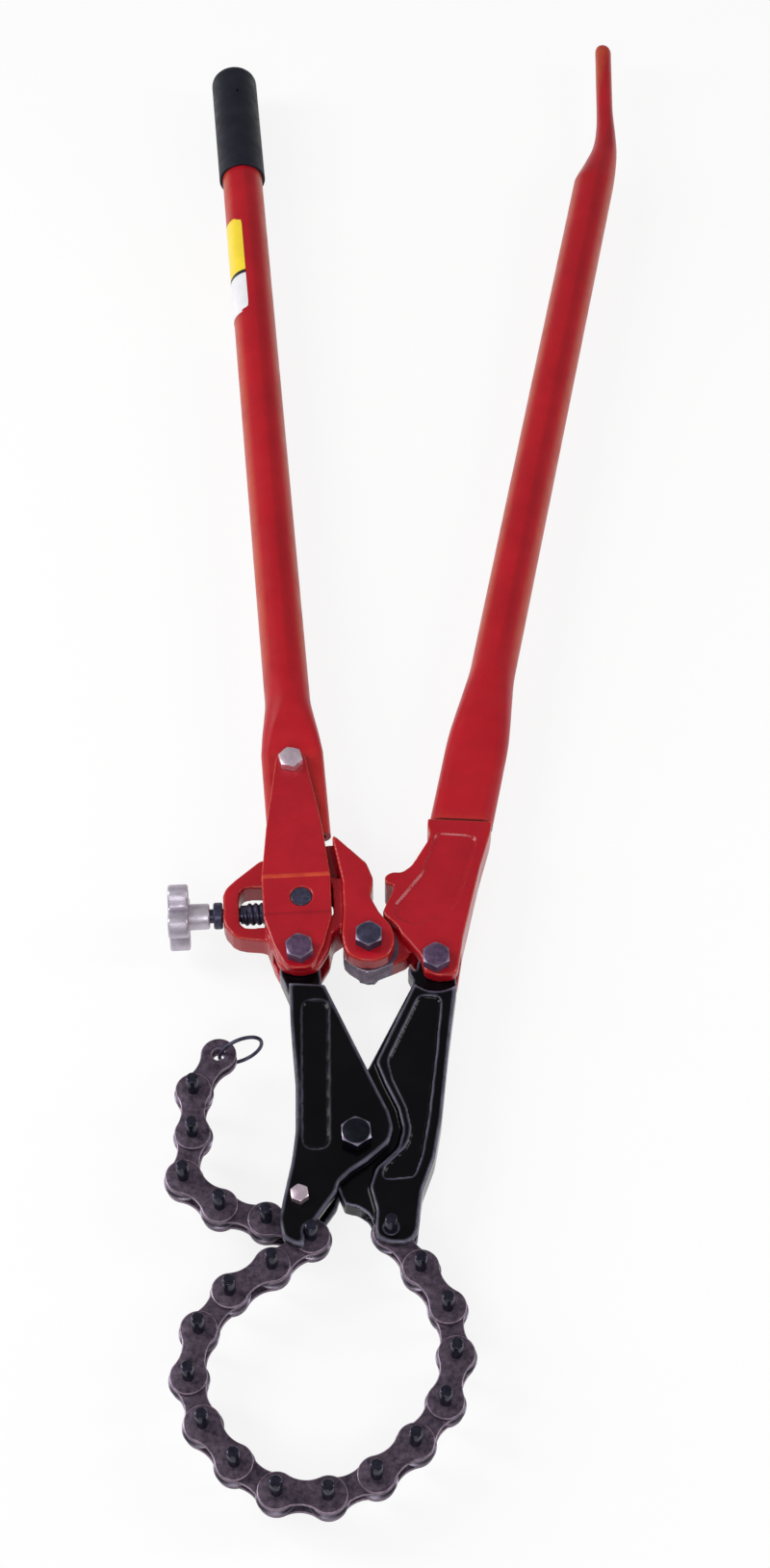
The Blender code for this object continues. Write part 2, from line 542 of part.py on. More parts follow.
def handle_plate(name, finish, side):
    """One of the pair that holds the flattened tube: side is 1 for the front plate and -1 for the rear."""
    flat_from = PLATE_RIDGE
    bend_to = PLATE_BEND
    local = [
        (-11.0, HANDLE_BOLT_REACH + 2.0), (-19.5, 105.0), (-24.0, flat_from), (-23.5, 28.0, 8),
        (-17.5, 6.0, 10),
        (-9.0, -13.0, 8), (9.0, -13.0, 8), (17.5, 6.0, 10), (23.5, 28.0, 8), (24.0, flat_from), (20.0, 105.0),
        (11.0, HANDLE_BOLT_REACH + 2.0),
    ]
    top = [(11.0 * cos(radians(a)), HANDLE_BOLT_REACH + 2.0 + 10.0 * sin(radians(a))) for a in (35, 70, 110, 145)]
    outline = rounded(local) + top
    placed = [in_axes(LEFT_BOLT, PLATE_LEAN, across, up) for across, up in outline]
    bm = prism(placed, 0.0, HANDLE_PLATE)
    foot = Vector((LEFT_BOLT[0], LEFT_BOLT[1], 0)) * MM
    up = Vector((cos(radians(90 + PLATE_LEAN)), sin(radians(90 + PLATE_LEAN)), 0))
    for level in (flat_from, bend_to):
        bmesh.ops.bisect_plane(
            bm, geom=[*bm.verts, *bm.edges, *bm.faces], dist=1e-7, plane_co=foot + up * level * MM, plane_no=up
        )
    for v in bm.verts:
        level = (v.co - foot).dot(up) / MM
        share = min(max((level - flat_from) / (bend_to - flat_from), 0.0), 1.0)
        height = v.co.z / MM - MID_HEIGHT + PLATE_INNER_HALF - PLATE_DROP * share
        v.co.z = (MID_HEIGHT + side * height) * MM
    made = named(bm, name, finish, LEFT_BOLT)
    hole(made, LEFT_BOLT, LINK_BOLT["shank"] + GAP, "link_hole", 20)
    hole(made, TRUNNION_AT, TRUNNION_JOURNAL + GAP, "trunnion_hole", 20)
    hole(made, HANDLE_BOLT_AT, HANDLE_BOLT["shank"] + GAP, "handle_hole", 20)
    return made


def stadium(half_width, half_thick, count=20):
    """A ring with flat faces and round edges; a circle when both halves are equal."""
    points = []
    straight = half_width - half_thick
    for i in range(count):
        angle = 2 * pi * (i + 0.5) / count
        points.append((half_thick * cos(angle) + (straight if cos(angle) > 0 else -straight), half_thick * sin(angle)))
    return points


def tube_rings(stations, foot, lean, wall):
    """Outer rings from bottom to top, then inner ones back down. A station is (up, across, half width, half
    thickness), and an inner ring is left out where the section is too thin to be hollow."""
    outer, inner = [], []
    for up, across, width, thick in stations:
        for rings, inset in ((outer, 0.0), (inner, wall)):
            if thick - inset < 1.0:
                continue
            ring = []
            for side, height in stadium(width - inset, thick - inset):
                x, y = in_axes(foot, lean, across + side, up)
                ring.append((x, y, MID_HEIGHT + height))
            rings.append(ring)
    return outer, inner


def left_tube(finish):
    flat_w, flat_t, r = LEFT_FLAT_HALF_WIDTH, LEFT_FLAT_HALF_THICK, TUBE_RADIUS
    stations = [
        (-LEFT_TUBE_BELOW_BOLT, 0, flat_w, flat_t), (15.0, 0, flat_w, flat_t), (32.0, 0, 20.6, 9.8),
        (48.0, 0, 18.2, 14.2), (62.0, 0, r, r), (LEFT_TUBE_ABOVE_BOLT - GRIP_CAP - GAP, 0, r, r),
    ]
    outer, inner = tube_rings(stations, LEFT_TUBE_FOOT, LEFT_TUBE_LEAN, TUBE_WALL)
    bm = lofted(outer + inner[::-1], open_ends=True)
    close_ring(bm, outer[0], inner[0])
    made = named(bm, "left_handle_tube", finish, HANDLE_BOLT_AT)
    hole(made, HANDLE_BOLT_AT, HANDLE_BOLT["shank"] + GAP, "handle_hole", 20)
    return made


def close_ring(bm, first, last):
    """Closes the strip between two rings of a lofted wall that are both on an open end."""
    bmesh.ops.remove_doubles(bm, verts=bm.verts, dist=1e-7)
    edges = [e for e in bm.edges if len(e.link_faces) == 1]
    bmesh.ops.bridge_loops(bm, edges=edges)
    bmesh.ops.recalc_face_normals(bm, faces=bm.faces)


def grip(finish):
    """A dipped sleeve, open below and closed on top, with a vent hole in its front."""
    bore = TUBE_RADIUS + GAP
    top = LEFT_TUBE_ABOVE_BOLT
    profile = [
        (bore, top - GRIP_LENGTH), (GRIP_RADIUS, top - GRIP_LENGTH), (GRIP_RADIUS, top - 7.0),
        (GRIP_RADIUS - 2.2, top - 2.2), (GRIP_RADIUS - 7.0, top), (0, top), (0, top - GRIP_CAP),
        (bore, top - GRIP_CAP),
    ]
    bm = bmesh.new()
    loop = [bm.verts.new((r * MM, 0, z * MM)) for r, z in profile]
    edges = [bm.edges.new((loop[i], loop[(i + 1) % len(loop)])) for i in range(len(loop)) if i != 5]
    bmesh.ops.spin(bm, geom=loop + edges, cent=(0, 0, 0), axis=(0, 0, 1), angle=2 * pi, steps=20, use_merge=True)
    bmesh.ops.remove_doubles(bm, verts=bm.verts, dist=1e-6)
    place = Vector((LEFT_TUBE_FOOT[0], LEFT_TUBE_FOOT[1], MID_HEIGHT)) * MM
    heading = Vector((cos(radians(90 + LEFT_TUBE_LEAN)), sin(radians(90 + LEFT_TUBE_LEAN)), 0))
    turn = Vector((0, 0, 1)).rotation_difference(heading)
    bmesh.ops.transform(bm, matrix=Matrix.Translation(place) @ turn.to_matrix().to_4x4(), verts=bm.verts)
    made = named(bm, "handle_grip", finish, HANDLE_BOLT_AT)
    vent = in_axes(LEFT_TUBE_FOOT, LEFT_TUBE_LEAN, 2.0, top - 34.0)
    cut(made, round_bar(vent, 1.6, TUBE_RADIUS, GRIP_RADIUS + 5, 10), "vent")
    return made


# The right handle.

def handle_socket(finish):
    """The casting on the right jaw: forked cheeks on the link bolt, a tongue that reaches the toggle bolt,
    a stop nub, and a tang that plugs the handle tube."""
    bx, by = RIGHT_BOLT
    dx, dy = TOGGLE_BOLT
    body = rounded([
        (bx - 10.8, by + 131.9), (bx - 10.6, by + 111.0, 2), (bx - 8.6, by + 107.0, 2),
        (bx - 10.2, by + 99.0, 6), (bx - 20.6, by + 77.0, 8), (bx - 27.0, by + 71.4, 4),
        (bx - 34.0, by + 71.4, 4), (bx - 39.0, by + 67.5, 4), (bx - 37.6, by + 61.2, 3), (bx - 31.0, by + 60.4, 2),
        (bx - 38.6, by + 36.9, 3), (bx - 30.6, by + 25.9, 3), (bx - 20.6, by + 14.9, 6),
        (bx - 10.6, by + 2.9, 4), (bx - 7.5, by - 9.0, 5), (bx + 2.0, by - 12.0, 7),
        (bx + 15.0, by - 10.0, 8), (bx + 16.0, by + 2.0, 8), (bx + 18.0, by + 21.9, 20),
        (bx + 27.4, by + 78.9, 10), (bx + 33.8, by + 108.9, 2), (bx + 36.4, by + 131.9),
    ])
    made = named(prism(body, -CASTING_HALF, CASTING_HALF, 1.2), "handle_socket", finish, RIGHT_BOLT)
    rise = CASTING_HALF + 5
    lip = by + RIGHT_TUBE_START * cos(radians(RIGHT_TUBE_LEAN)) - GAP
    above = [(bx - 40.0, lip), (bx + 60.0, lip), (bx + 60.0, lip + 30.0), (bx - 40.0, lip + 30.0)]
    cut(made, prism(above, -rise, rise), "top")
    tongue = rounded([
        (dx + 12.0, dy + 13.0, 4), (dx, dy + 19.4, 11), (dx - 17.4, dy + 9.2, 11), (dx - 17.6, dy - 9.8, 11),
        (dx - 0.5, dy - 20.6, 12), (dx + 16.5, dy - 12.0, 8), (bx - 20.6, by + 5.9, 4), (bx - 12.6, by + 15.9),
        (bx - 16.6, by + 31.9),
    ])
    join(made, prism(tongue, -LINK_ARM_HALF, LINK_ARM_HALF), "tongue")
    tang_low, tang_high = RIGHT_TUBE_START - 6.0, RIGHT_TUBE_START + 22.0
    inset = TUBE_WALL + GAP
    rings = []
    for up in (tang_low, tang_high):
        ring = []
        for side, height in stadium(RIGHT_FLAT_HALF_WIDTH - inset, RIGHT_FLAT_HALF_THICK - inset):
            x, y = in_axes(RIGHT_TUBE_FOOT, -RIGHT_TUBE_LEAN, side, up)
            ring.append((x, y, MID_HEIGHT + height))
        rings.append(ring)
    join(made, lofted(rings), "tang")
    taper_from, taper_to = 20.0, RIGHT_TUBE_START + 6.0
    lean = (CASTING_HALF - SOCKET_LIP_HALF) / (taper_to - taper_from)
    shoulder = [(bx - 50.0, by + taper_to), (bx + 60.0, by + taper_to), (bx + 60.0, by + taper_from),
                (bx - 50.0, by + taper_from)]
    collar = bevelled_wedge(shoulder, SOCKET_LIP_HALF, CASTING_HALF, rise)
    for side, name in ((1, "front_slope"), (-1, "rear_slope")):
        bm = collar.copy()
        for v in bm.verts:
            v.co.z = (MID_HEIGHT + side * v.co.z) * MM
        bmesh.ops.recalc_face_normals(bm, faces=bm.faces)
        cut(made, bm, name)
    collar.free()
    jaw_way = round_bar(RIGHT_BOLT, 21.0, -LINK_ARM_HALF - GAP, LINK_ARM_HALF + GAP)
    cut(made, jaw_way, "jaw_arm_slot")
    way = [(bx - 20.6, by + 0.7), (bx - 26.0, by - 40.0), (bx + 40.0, by - 40.0), (bx + 20.5, by + 0.7)]
    cut(made, prism(way, -LINK_ARM_HALF - GAP, LINK_ARM_HALF + GAP), "jaw_arm_way")
    for side, name in ((1, "front_arm_way"), (-1, "rear_arm_way")):
        low, high = sorted((side * (LINK_ARM_HALF + 0.02), side * rise))
        cut(made, prism(circle(TOGGLE_BOLT, 23.0, 32), low, high), name)
    panel = rounded([
        (bx - 4.5, by + 107.0, 6), (bx + 25.5, by + 106.0, 7), (bx + 13.5, by + 50.5, 16), (bx + 5.5, by + 37.5, 10),
        (bx - 16.3, by + 27.6, 8), (bx - 29.5, by + 33.0, 6), (bx - 31.0, by + 42.5, 6), (bx - 12.5, by + 72.0, 12),
    ])
    for side, name in ((1, "front_panel"), (-1, "rear_panel")):
        bm = prism(panel, 0.0, rise)
        for v in bm.verts:
            level = v.co.z / MM - MID_HEIGHT
            if level < 1.0:
                level = CASTING_HALF - PANEL_DEPTH - lean * (v.co.y / MM - by - taper_from)
            v.co.z = (MID_HEIGHT + side * level) * MM
        bmesh.ops.recalc_face_normals(bm, faces=bm.faces)
        cut(made, bm, name)
    hole(made, RIGHT_BOLT, LINK_BOLT["shank"] + GAP, "link_hole", 20)
    hole(made, TOGGLE_BOLT, LINK_BOLT["shank"] + TOGGLE_SLACK, "toggle_hole", 20)
    return made


def bevelled_wedge(quad, low_near, low_far, high):
    """A wedge that stands over a quad: its underside starts low_near high at the first edge and rises."""
    bm = bmesh.new()
    heights = (low_near, low_near, low_far, low_far)
    under = [bm.verts.new((x * MM, y * MM, z)) for (x, y), z in zip(quad, heights)]
    over = [bm.verts.new((x * MM, y * MM, high)) for x, y in quad]
    bm.faces.new(under)
    bm.faces.new(over[::-1])
    for i in range(4):
        j = (i + 1) % 4
        bm.faces.new((under[i], over[i], over[j], under[j]))
    return bm


def right_tube(finish):
    """A tube flattened over the tang and drawn down at its far end to a narrow tip that bends in line with
    the tool."""
    flat_w, flat_t, r, tip = RIGHT_FLAT_HALF_WIDTH, RIGHT_FLAT_HALF_THICK, TUBE_RADIUS, TIP_RADIUS
    start = RIGHT_TUBE_START
    straight_to = 783.0
    stations = [
        (start, 0, flat_w, flat_t), (start + 68.0, 0, flat_w, flat_t + 0.6), (start + 94.0, 0, 20.8, 12.4),
        (start + 116.0, 0, 18.6, 15.0), (start + 140.0, 0, r, r), (straight_to, 0, r, r),
        (straight_to + 22.0, 2.2, 13.6, 13.6), (straight_to + 44.0, 3.2, 10.4, 10.4),
        (straight_to + 68.0, 0.6, 8.2, 8.2), (straight_to + 98.0, -4.6, tip, tip),
        (straight_to + 166.0, -15.5, tip, tip), (straight_to + 172.0, -16.5, 0.55 * tip, 0.55 * tip),
    ]
    outer, inner = tube_rings(stations[:6], RIGHT_TUBE_FOOT, -RIGHT_TUBE_LEAN, TUBE_WALL)
    drawn, _ = tube_rings(stations[6:], RIGHT_TUBE_FOOT, -RIGHT_TUBE_LEAN, TUBE_WALL)
    level = RIGHT_TUBE_FOOT[1] + start * cos(radians(RIGHT_TUBE_LEAN))
    slope = tan(radians(RIGHT_TUBE_LEAN))
    for rings in (outer, inner):
        rings[0] = [(x + (level - y) * slope, level, z) for x, y, z in rings[0]]
    bm = bmesh.new()
    rows = [[bm.verts.new(Vector(p) * MM) for p in ring] for ring in inner[::-1] + outer + drawn]
    for lower, upper in zip(rows, rows[1:]):
        count = len(lower)
        for i in range(count):
            j = (i + 1) % count
            bm.faces.new((lower[i], lower[j], upper[j], upper[i]))
    bm.faces.new(rows[0][::-1])
    bm.faces.new(rows[-1])
    bmesh.ops.recalc_face_normals(bm, faces=bm.faces)
    return named(bm, "right_handle_tube", finish, RIGHT_BOLT)


def handle_fasteners(dark, zinc):
    plates, casting, arms = PLATE_OUTER_HALF, CASTING_HALF, YOKE_ARM_HALF
    bolt("left_link_bolt", dark, LEFT_BOLT, LINK_BOLT, plates + GAP, -MID_HEIGHT, 12.0)
    nut("left_link_nut", dark, LEFT_BOLT, LINK_BOLT, -plates - GAP, 3.0)
    bolt("right_link_bolt", dark, RIGHT_BOLT, LINK_BOLT, casting + GAP, -MID_HEIGHT, 5.0)
    nut("right_link_nut", dark, RIGHT_BOLT, LINK_BOLT, -casting - GAP, 17.0)
    bolt("toggle_bolt", dark, TOGGLE_BOLT, LINK_BOLT, arms + GAP, -MID_HEIGHT, 2.0)
    nut("toggle_nut", dark, TOGGLE_BOLT, LINK_BOLT, -REAR_ARM_REACH - GAP, 25.0)
    seat = LEFT_FLAT_HALF_THICK + GAP + HANDLE_PLATE + GAP
    bolt("handle_bolt", zinc, HANDLE_BOLT_AT, HANDLE_BOLT, seat, -HANDLE_BOLT_END, 20.0)
    nut("handle_nut", zinc, HANDLE_BOLT_AT, HANDLE_BOLT, -seat, 8.0)


# The chain.

def link_outline(start, heading):
    """A figure-eight plate round two pin centres."""
    end = along(start, heading, PITCH)
    middle = along(start, heading, PITCH / 2)
    spread = 60.0
    points = circle(end, PLATE_END_RADIUS, 11, start=heading - 180 + spread, sweep=360 - 2 * spread)
    points.append(along(middle, heading + 90, PLATE_WAIST))
    points += circle(start, PLATE_END_RADIUS, 11, start=heading + spread, sweep=360 - 2 * spread)
    points.append(along(middle, heading - 90, PLATE_WAIST))
    return points


def chain_link(index, finish):
    """Odd links are inner ones, two plates on bushes with holes for the pins; even links are outer ones,
    two plates riveted on two pins. The last link is an inner one that holds the ring."""
    start, end = PINS[index - 1], PINS[index]
    heading = (LOOP_HEADINGS + TAIL_HEADINGS)[index - 1]
    outer = index % 2 == 0
    low, high = OUTER_PLATE if outer else INNER_PLATE
    name = f"chain_link_{index:02d}"
    made = named(prism(link_outline(start, heading), low, high), name, finish, start)
    join(made, prism(link_outline(start, heading), -high, -low), "rear_plate")
    last = index == len(PINS) - 1
    for centre, label in ((start, "near"), (end, "far")):
        if outer:
            join(made, prism(circle(centre, PIN_RADIUS, CHAIN_FACETS), -PIN_HALF, PIN_HALF, 0.0), f"{label}_pin")
            continue
        if not (last and label == "far"):
            join(made, round_bar(centre, BUSH_RADIUS, -low - 0.5, low + 0.5, CHAIN_FACETS), f"{label}_bush")
        if not wheel_turns(PINS.index(centre) + 1) and not (last and label == "far"):
            fixed = fixed_wheel(centre)
            join(made, fixed, f"{label}_wheel")
        hole(made, centre, PIN_RADIUS + GAP, f"{label}_hole", CHAIN_FACETS)
    return made


FIRST_TURNING_WHEEL = 2
LAST_TURNING_WHEEL = 15


def wheel_turns(pin):
    """The wheels on the loop's pins are pieces of their own; those on the anchor pin and the tail are one
    with their link."""
    return FIRST_TURNING_WHEEL <= pin <= LAST_TURNING_WHEEL


def wheel_profile(bore, half):
    return [(bore, -half), (WHEEL_HUB_RADIUS, -half), (WHEEL_RADIUS, -WHEEL_EDGE), (WHEEL_RADIUS, WHEEL_EDGE),
            (WHEEL_HUB_RADIUS, half), (bore, half)]


def fixed_wheel(centre):
    bm = turned([(0, -WHEEL_HALF), *wheel_profile(1.0, WHEEL_HALF)[1:-1], (0, WHEEL_HALF)], 12)
    bmesh.ops.translate(bm, verts=bm.verts, vec=Vector((centre[0], centre[1], MID_HEIGHT)) * MM)
    return bm


def cutting_wheel(pin, finish):
    bm = turned(wheel_profile(BUSH_RADIUS + GAP, WHEEL_HALF), 12)
    centre = PINS[pin - 1]
    bmesh.ops.translate(bm, verts=bm.verts, vec=Vector((centre[0], centre[1], MID_HEIGHT)) * MM)
    return named(bm, f"cutting_wheel_{pin - FIRST_TURNING_WHEEL + 1:02d}", finish, centre)


def anchor_pin(finish):
    return named(prism(circle(ANCHOR_PIN, PIN_RADIUS, CHAIN_FACETS), -PIN_HALF, PIN_HALF), "anchor_pin", finish,
                 ANCHOR_PIN)


def pull_ring(finish):
    """A wire ring that stands up through the last link's hole."""
    hole_at = PINS[-1]
    centre = along(hole_at, RING_HEADING, RING_RADIUS + RING_PULL)
    bm = bmesh.new()
    section = [(RING_RADIUS + RING_WIRE * cos(2 * pi * i / 8), RING_WIRE * sin(2 * pi * i / 8)) for i in range(8)]
    loop = [bm.verts.new((r * MM, 0, z * MM)) for r, z in section]
    edges = [bm.edges.new((loop[i], loop[(i + 1) % 8])) for i in range(8)]
    bmesh.ops.spin(bm, geom=loop + edges, cent=(0, 0, 0), axis=(0, 0, 1), angle=2 * pi, steps=24, use_merge=True)
    bmesh.ops.remove_doubles(bm, verts=bm.verts, dist=1e-6)
    stand = Matrix.Rotation(radians(90), 4, "X")
    swing = Matrix.Rotation(radians(RING_HEADING), 4, "Z")
    place = Matrix.Translation(Vector((centre[0], centre[1], MID_HEIGHT)) * MM)
    bmesh.ops.transform(bm, matrix=place @ swing @ stand, verts=bm.verts)
    return named(bm, "pull_ring", finish, hole_at)


def settle():
    """Applies the cuts and joins, marks the edges that stay sharp and removes the hidden tools."""
    graph = bpy.context.evaluated_depsgraph_get()
    worked = [piece for piece in bpy.data.objects if piece.modifiers]
    meshes = [bpy.data.meshes.new_from_object(piece.evaluated_get(graph)) for piece in worked]
    for piece, mesh in zip(worked, meshes):
        mesh.name = piece.name
        mesh.shade_smooth()
        mesh.set_sharp_from_angle(angle=radians(30))
        piece.modifiers.clear()
        piece.data = mesh
    for piece in list(bpy.data.objects):
        if piece.hide_render:
            bpy.data.objects.remove(piece, do_unlink=True)


def build():
    for existing in list(bpy.data.objects):
        bpy.data.objects.remove(existing, do_unlink=True)
    red = material("red_paint", (0.62, 0.035, 0.03), 0.35, 0.0)
    black = material("black_paint", (0.012, 0.012, 0.014), 0.25, 0.0)
    dark = material("dark_steel", (0.075, 0.075, 0.085), 0.45, 0.8)
    zinc = material("zinc_plate", (0.55, 0.55, 0.58), 0.4, 0.9)
    chain_steel = material("chain_steel", (0.11, 0.085, 0.09), 0.5, 0.7)
    rubber = material("grip_rubber", (0.018, 0.02, 0.03), 0.7, 0.0)
    left_jaw(black)
    right_jaw(black)
    jaw_fasteners(dark, zinc)
    yoke(red)
    adjuster(dark, zinc)
    handle_plate("front_handle_plate", red, 1)
    handle_plate("rear_handle_plate", red, -1)
    left_tube(red)
    grip(rubber)
    handle_socket(red)
    right_tube(red)
    handle_fasteners(dark, zinc)
    anchor_pin(dark)
    for index in range(1, len(PINS)):
        chain_link(index, chain_steel)
    for pin in range(FIRST_TURNING_WHEEL, LAST_TURNING_WHEEL + 1):
        cutting_wheel(pin, chain_steel)
    pull_ring(chain_steel)
    settle()


build()
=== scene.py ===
"""Dresses the soil pipe cutter: cast and drawn red handles, black jaws, a riveted chain with cutting wheels.

Every piece is made in place, in the frame of the CAD model. Sizes are in millimetres and are turned into
metres where a mesh is made.
"""

import json
from math import atan2, cos, pi, radians, sin, sqrt, tan

import bmesh
import bpy
from mathutils import Matrix, Vector


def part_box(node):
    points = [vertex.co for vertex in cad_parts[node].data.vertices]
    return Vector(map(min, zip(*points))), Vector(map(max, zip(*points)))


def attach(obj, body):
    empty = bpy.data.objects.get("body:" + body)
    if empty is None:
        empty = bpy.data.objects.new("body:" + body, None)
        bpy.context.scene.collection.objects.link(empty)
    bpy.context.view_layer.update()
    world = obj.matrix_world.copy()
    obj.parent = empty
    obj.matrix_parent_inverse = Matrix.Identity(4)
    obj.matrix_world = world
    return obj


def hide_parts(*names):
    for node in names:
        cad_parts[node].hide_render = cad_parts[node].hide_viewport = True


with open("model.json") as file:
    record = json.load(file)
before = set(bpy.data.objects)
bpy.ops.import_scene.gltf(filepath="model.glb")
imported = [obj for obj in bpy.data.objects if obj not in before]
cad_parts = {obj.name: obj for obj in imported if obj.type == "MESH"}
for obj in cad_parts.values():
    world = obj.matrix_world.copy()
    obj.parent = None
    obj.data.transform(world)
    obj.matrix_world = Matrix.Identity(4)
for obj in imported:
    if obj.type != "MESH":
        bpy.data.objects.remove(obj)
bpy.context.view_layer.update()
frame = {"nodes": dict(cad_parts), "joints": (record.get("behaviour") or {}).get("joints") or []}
nodes = frame["nodes"]
joints = {joint["name"]: joint for joint in frame["joints"]}

MM = 0.001
MIDDLE = 34.0
PITCH = 31.75
TUBE_RADIUS = 16.7
PIN_RADIUS = 4.0
PLATE_LEAN = 6.3
RIGHT_TUBE_LEAN = 7.75
RIGHT_TUBE_START = 120.2
LUG_RADIUS = 20.6
LEFT_TUBE_LEAN = 8.2
LEFT_AXIS_OFFSET = 1.7


def middle_of(node):
    """The middle of a node's box, in millimetres."""
    low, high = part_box(node)
    return (low + high) / 2 / MM


def joint_at(name):
    return Vector(joints[name]["pos_m"]) / MM


PINS = [joint_at(f"chain_hinge_{number:02d}") for number in range(1, 22)] + [joint_at("ring_hinge")]
LEFT_BOLT = joint_at("toggle_fold")
RIGHT_BOLT = joint_at("right_handle_hinge")
TRUNNION = joint_at("trunnion_turn")
TOGGLE_BOLT = middle_of("toggle_bolt")
HANDLE_BOLT = middle_of("handle_bolt")
KEEPER_BOLT = middle_of("keeper_bolt")
SCREW_AXIS = -Vector(joints["adjuster_spin"]["axis"])
RIGHT_FOOT = Vector((RIGHT_BOLT.x - 3.6, RIGHT_BOLT.y, MIDDLE))
LEFT_UP = Vector((-sin(radians(LEFT_TUBE_LEAN)), cos(radians(LEFT_TUBE_LEAN)), 0))
LEFT_SIDE = Vector((LEFT_UP.y, -LEFT_UP.x, 0))
LEFT_FOOT = Vector((HANDLE_BOLT.x, HANDLE_BOLT.y, MIDDLE)) + LEFT_SIDE * LEFT_AXIS_OFFSET


# Finishes. Each pattern reads the piece's own object coordinates, which are in metres.

def blank(name):
    finish = bpy.data.materials.new(name)
    finish.use_nodes = True
    return finish, finish.node_tree, finish.node_tree.nodes["Principled BSDF"]


def place_reader(tree, stretch=(1, 1, 1)):
    """Object coordinates through a Mapping node."""
    where = tree.nodes.new("ShaderNodeTexCoord")
    mapping = tree.nodes.new("ShaderNodeMapping")
    mapping.inputs["Scale"].default_value = stretch
    tree.links.new(where.outputs["Object"], mapping.inputs["Vector"])
    return mapping.outputs["Vector"]


def noise(tree, vector, scale, detail=3.0, rough=0.5):
    grain = tree.nodes.new("ShaderNodeTexNoise")
    grain.inputs["Scale"].default_value = scale
    grain.inputs["Detail"].default_value = detail
    grain.inputs["Roughness"].default_value = rough
    tree.links.new(vector, grain.inputs["Vector"])
    return grain.outputs["Fac"]


def ramp(tree, value, *stops):
    """A colour ramp from (place, colour) stops."""
    node = tree.nodes.new("ShaderNodeValToRGB")
    band = node.color_ramp
    while len(band.elements) < len(stops):
        band.elements.new(0.5)
    for element, (place, colour) in zip(band.elements, stops):
        element.position = place
        element.color = (*colour, 1.0) if len(colour) == 3 else colour
    tree.links.new(value, node.inputs["Fac"])
    return node.outputs["Color"]


def grey(level):
    return (level, level, level)


def blend_colours(tree, kind, factor, first, second):
    """Mixes two colours; factor, first and second are sockets or plain values."""
    node = tree.nodes.new("ShaderNodeMix")
    node.data_type = "RGBA"
    node.blend_type = kind
    for socket, value in ((node.inputs[0], factor), (node.inputs[6], first), (node.inputs[7], second)):
        if isinstance(value, bpy.types.NodeSocket):
            tree.links.new(value, socket)
        elif isinstance(value, tuple):
            socket.default_value = (*value, 1.0)
        else:
            socket.default_value = value
    return node.outputs[2]


def relief(tree, shader, height, strength, distance):
    bump = tree.nodes.new("ShaderNodeBump")
    bump.inputs["Strength"].default_value = strength
    bump.inputs["Distance"].default_value = distance
    tree.links.new(height, bump.inputs["Height"])
    tree.links.new(bump.outputs["Normal"], shader.inputs["Normal"])
    return bump


def edges_of(tree, soft, full):
    """White along the outward edges of a rounded casting."""
    geometry = tree.nodes.new("ShaderNodeNewGeometry")
    return ramp(tree, geometry.outputs["Pointiness"], (soft, grey(0.0)), (full, grey(1.0)))


def enamel(name, deep, bright, edge, gloss, peel, edge_share, soft=0.51, full=0.56, shine=0.4):
    """Thick sprayed enamel over metal: mottled colour, orange peel, and lighter on outward edges, partly as wear where
    the paint is thin and partly as a painted highlight.
    """
    finish, tree, shader = blank(name)
    vector = place_reader(tree)
    mottle = ramp(tree, noise(tree, vector, 26.0, 4.0, 0.6), (0.32, deep), (0.68, bright))
    speck = ramp(tree, noise(tree, vector, 900.0, 2.0), (0.30, grey(0.86)), (0.55, grey(1.0)))
    colour = blend_colours(tree, "MULTIPLY", 0.55, mottle, speck)
    # Edge colour: partly wear where the paint is thin, partly a painted highlight along the rims.
    edges = edges_of(tree, soft, full)
    edge_wear_and_sheen = noise(tree, vector, 70.0, 4.0, 0.65)
    share = blend_colours(tree, "MULTIPLY", 1.0, edges,
                          ramp(tree, edge_wear_and_sheen, (0.30, grey(edge_share * 0.35)), (0.62, grey(edge_share))))
    colour = blend_colours(tree, "MIX", share, colour, edge)
    tree.links.new(colour, shader.inputs["Base Color"])
    rough = ramp(tree, noise(tree, vector, 55.0, 3.0, 0.55), (0.3, grey(gloss * 0.85)), (0.7, grey(gloss * 1.25)))
    tree.links.new(rough, shader.inputs["Roughness"])
    shader.inputs["Specular IOR Level"].default_value = shine
    relief(tree, shader, noise(tree, vector, 330.0, 2.0), 0.35, peel)
    return finish, tree, shader, colour


def metal(name, dark, light, gloss, metallic=1.0, grain=420.0, bump=0.00012, edge=None, edge_share=0.6,
          soft=0.51, full=0.57, stretch=(1, 1, 1), patch=90.0, shine=0.5):
    """Bare or blackened steel: mottled, finely grained, and lighter on its edges where an edge colour is given, as
    rubbed wear and, on some finishes, a painted highlight.
    """
    finish, tree, shader = blank(name)
    vector = place_reader(tree, stretch)
    patches = ramp(tree, noise(tree, vector, patch, 5.0, 0.65), (0.30, dark), (0.70, light))
    pits = ramp(tree, noise(tree, vector, 1400.0, 2.0), (0.34, grey(0.62)), (0.52, grey(1.0)))
    colour = blend_colours(tree, "MULTIPLY", 0.6, patches, pits)
    # Edge colour: partly rubbed wear, partly a painted highlight.
    if edge:
        share = blend_colours(tree, "MULTIPLY", 1.0, edges_of(tree, soft, full), grey(edge_share))
        colour = blend_colours(tree, "MIX", share, colour, edge)
    tree.links.new(colour, shader.inputs["Base Color"])
    rough = ramp(tree, noise(tree, vector, 160.0, 3.0), (0.3, grey(gloss * 0.8)), (0.7, grey(min(1.0, gloss * 1.25))))
    tree.links.new(rough, shader.inputs["Roughness"])
    shader.inputs["Metallic"].default_value = metallic
    shader.inputs["Specular IOR Level"].default_value = shine
    relief(tree, shader, noise(tree, vector, grain, 3.0, 0.6), 0.4, bump)
    return finish


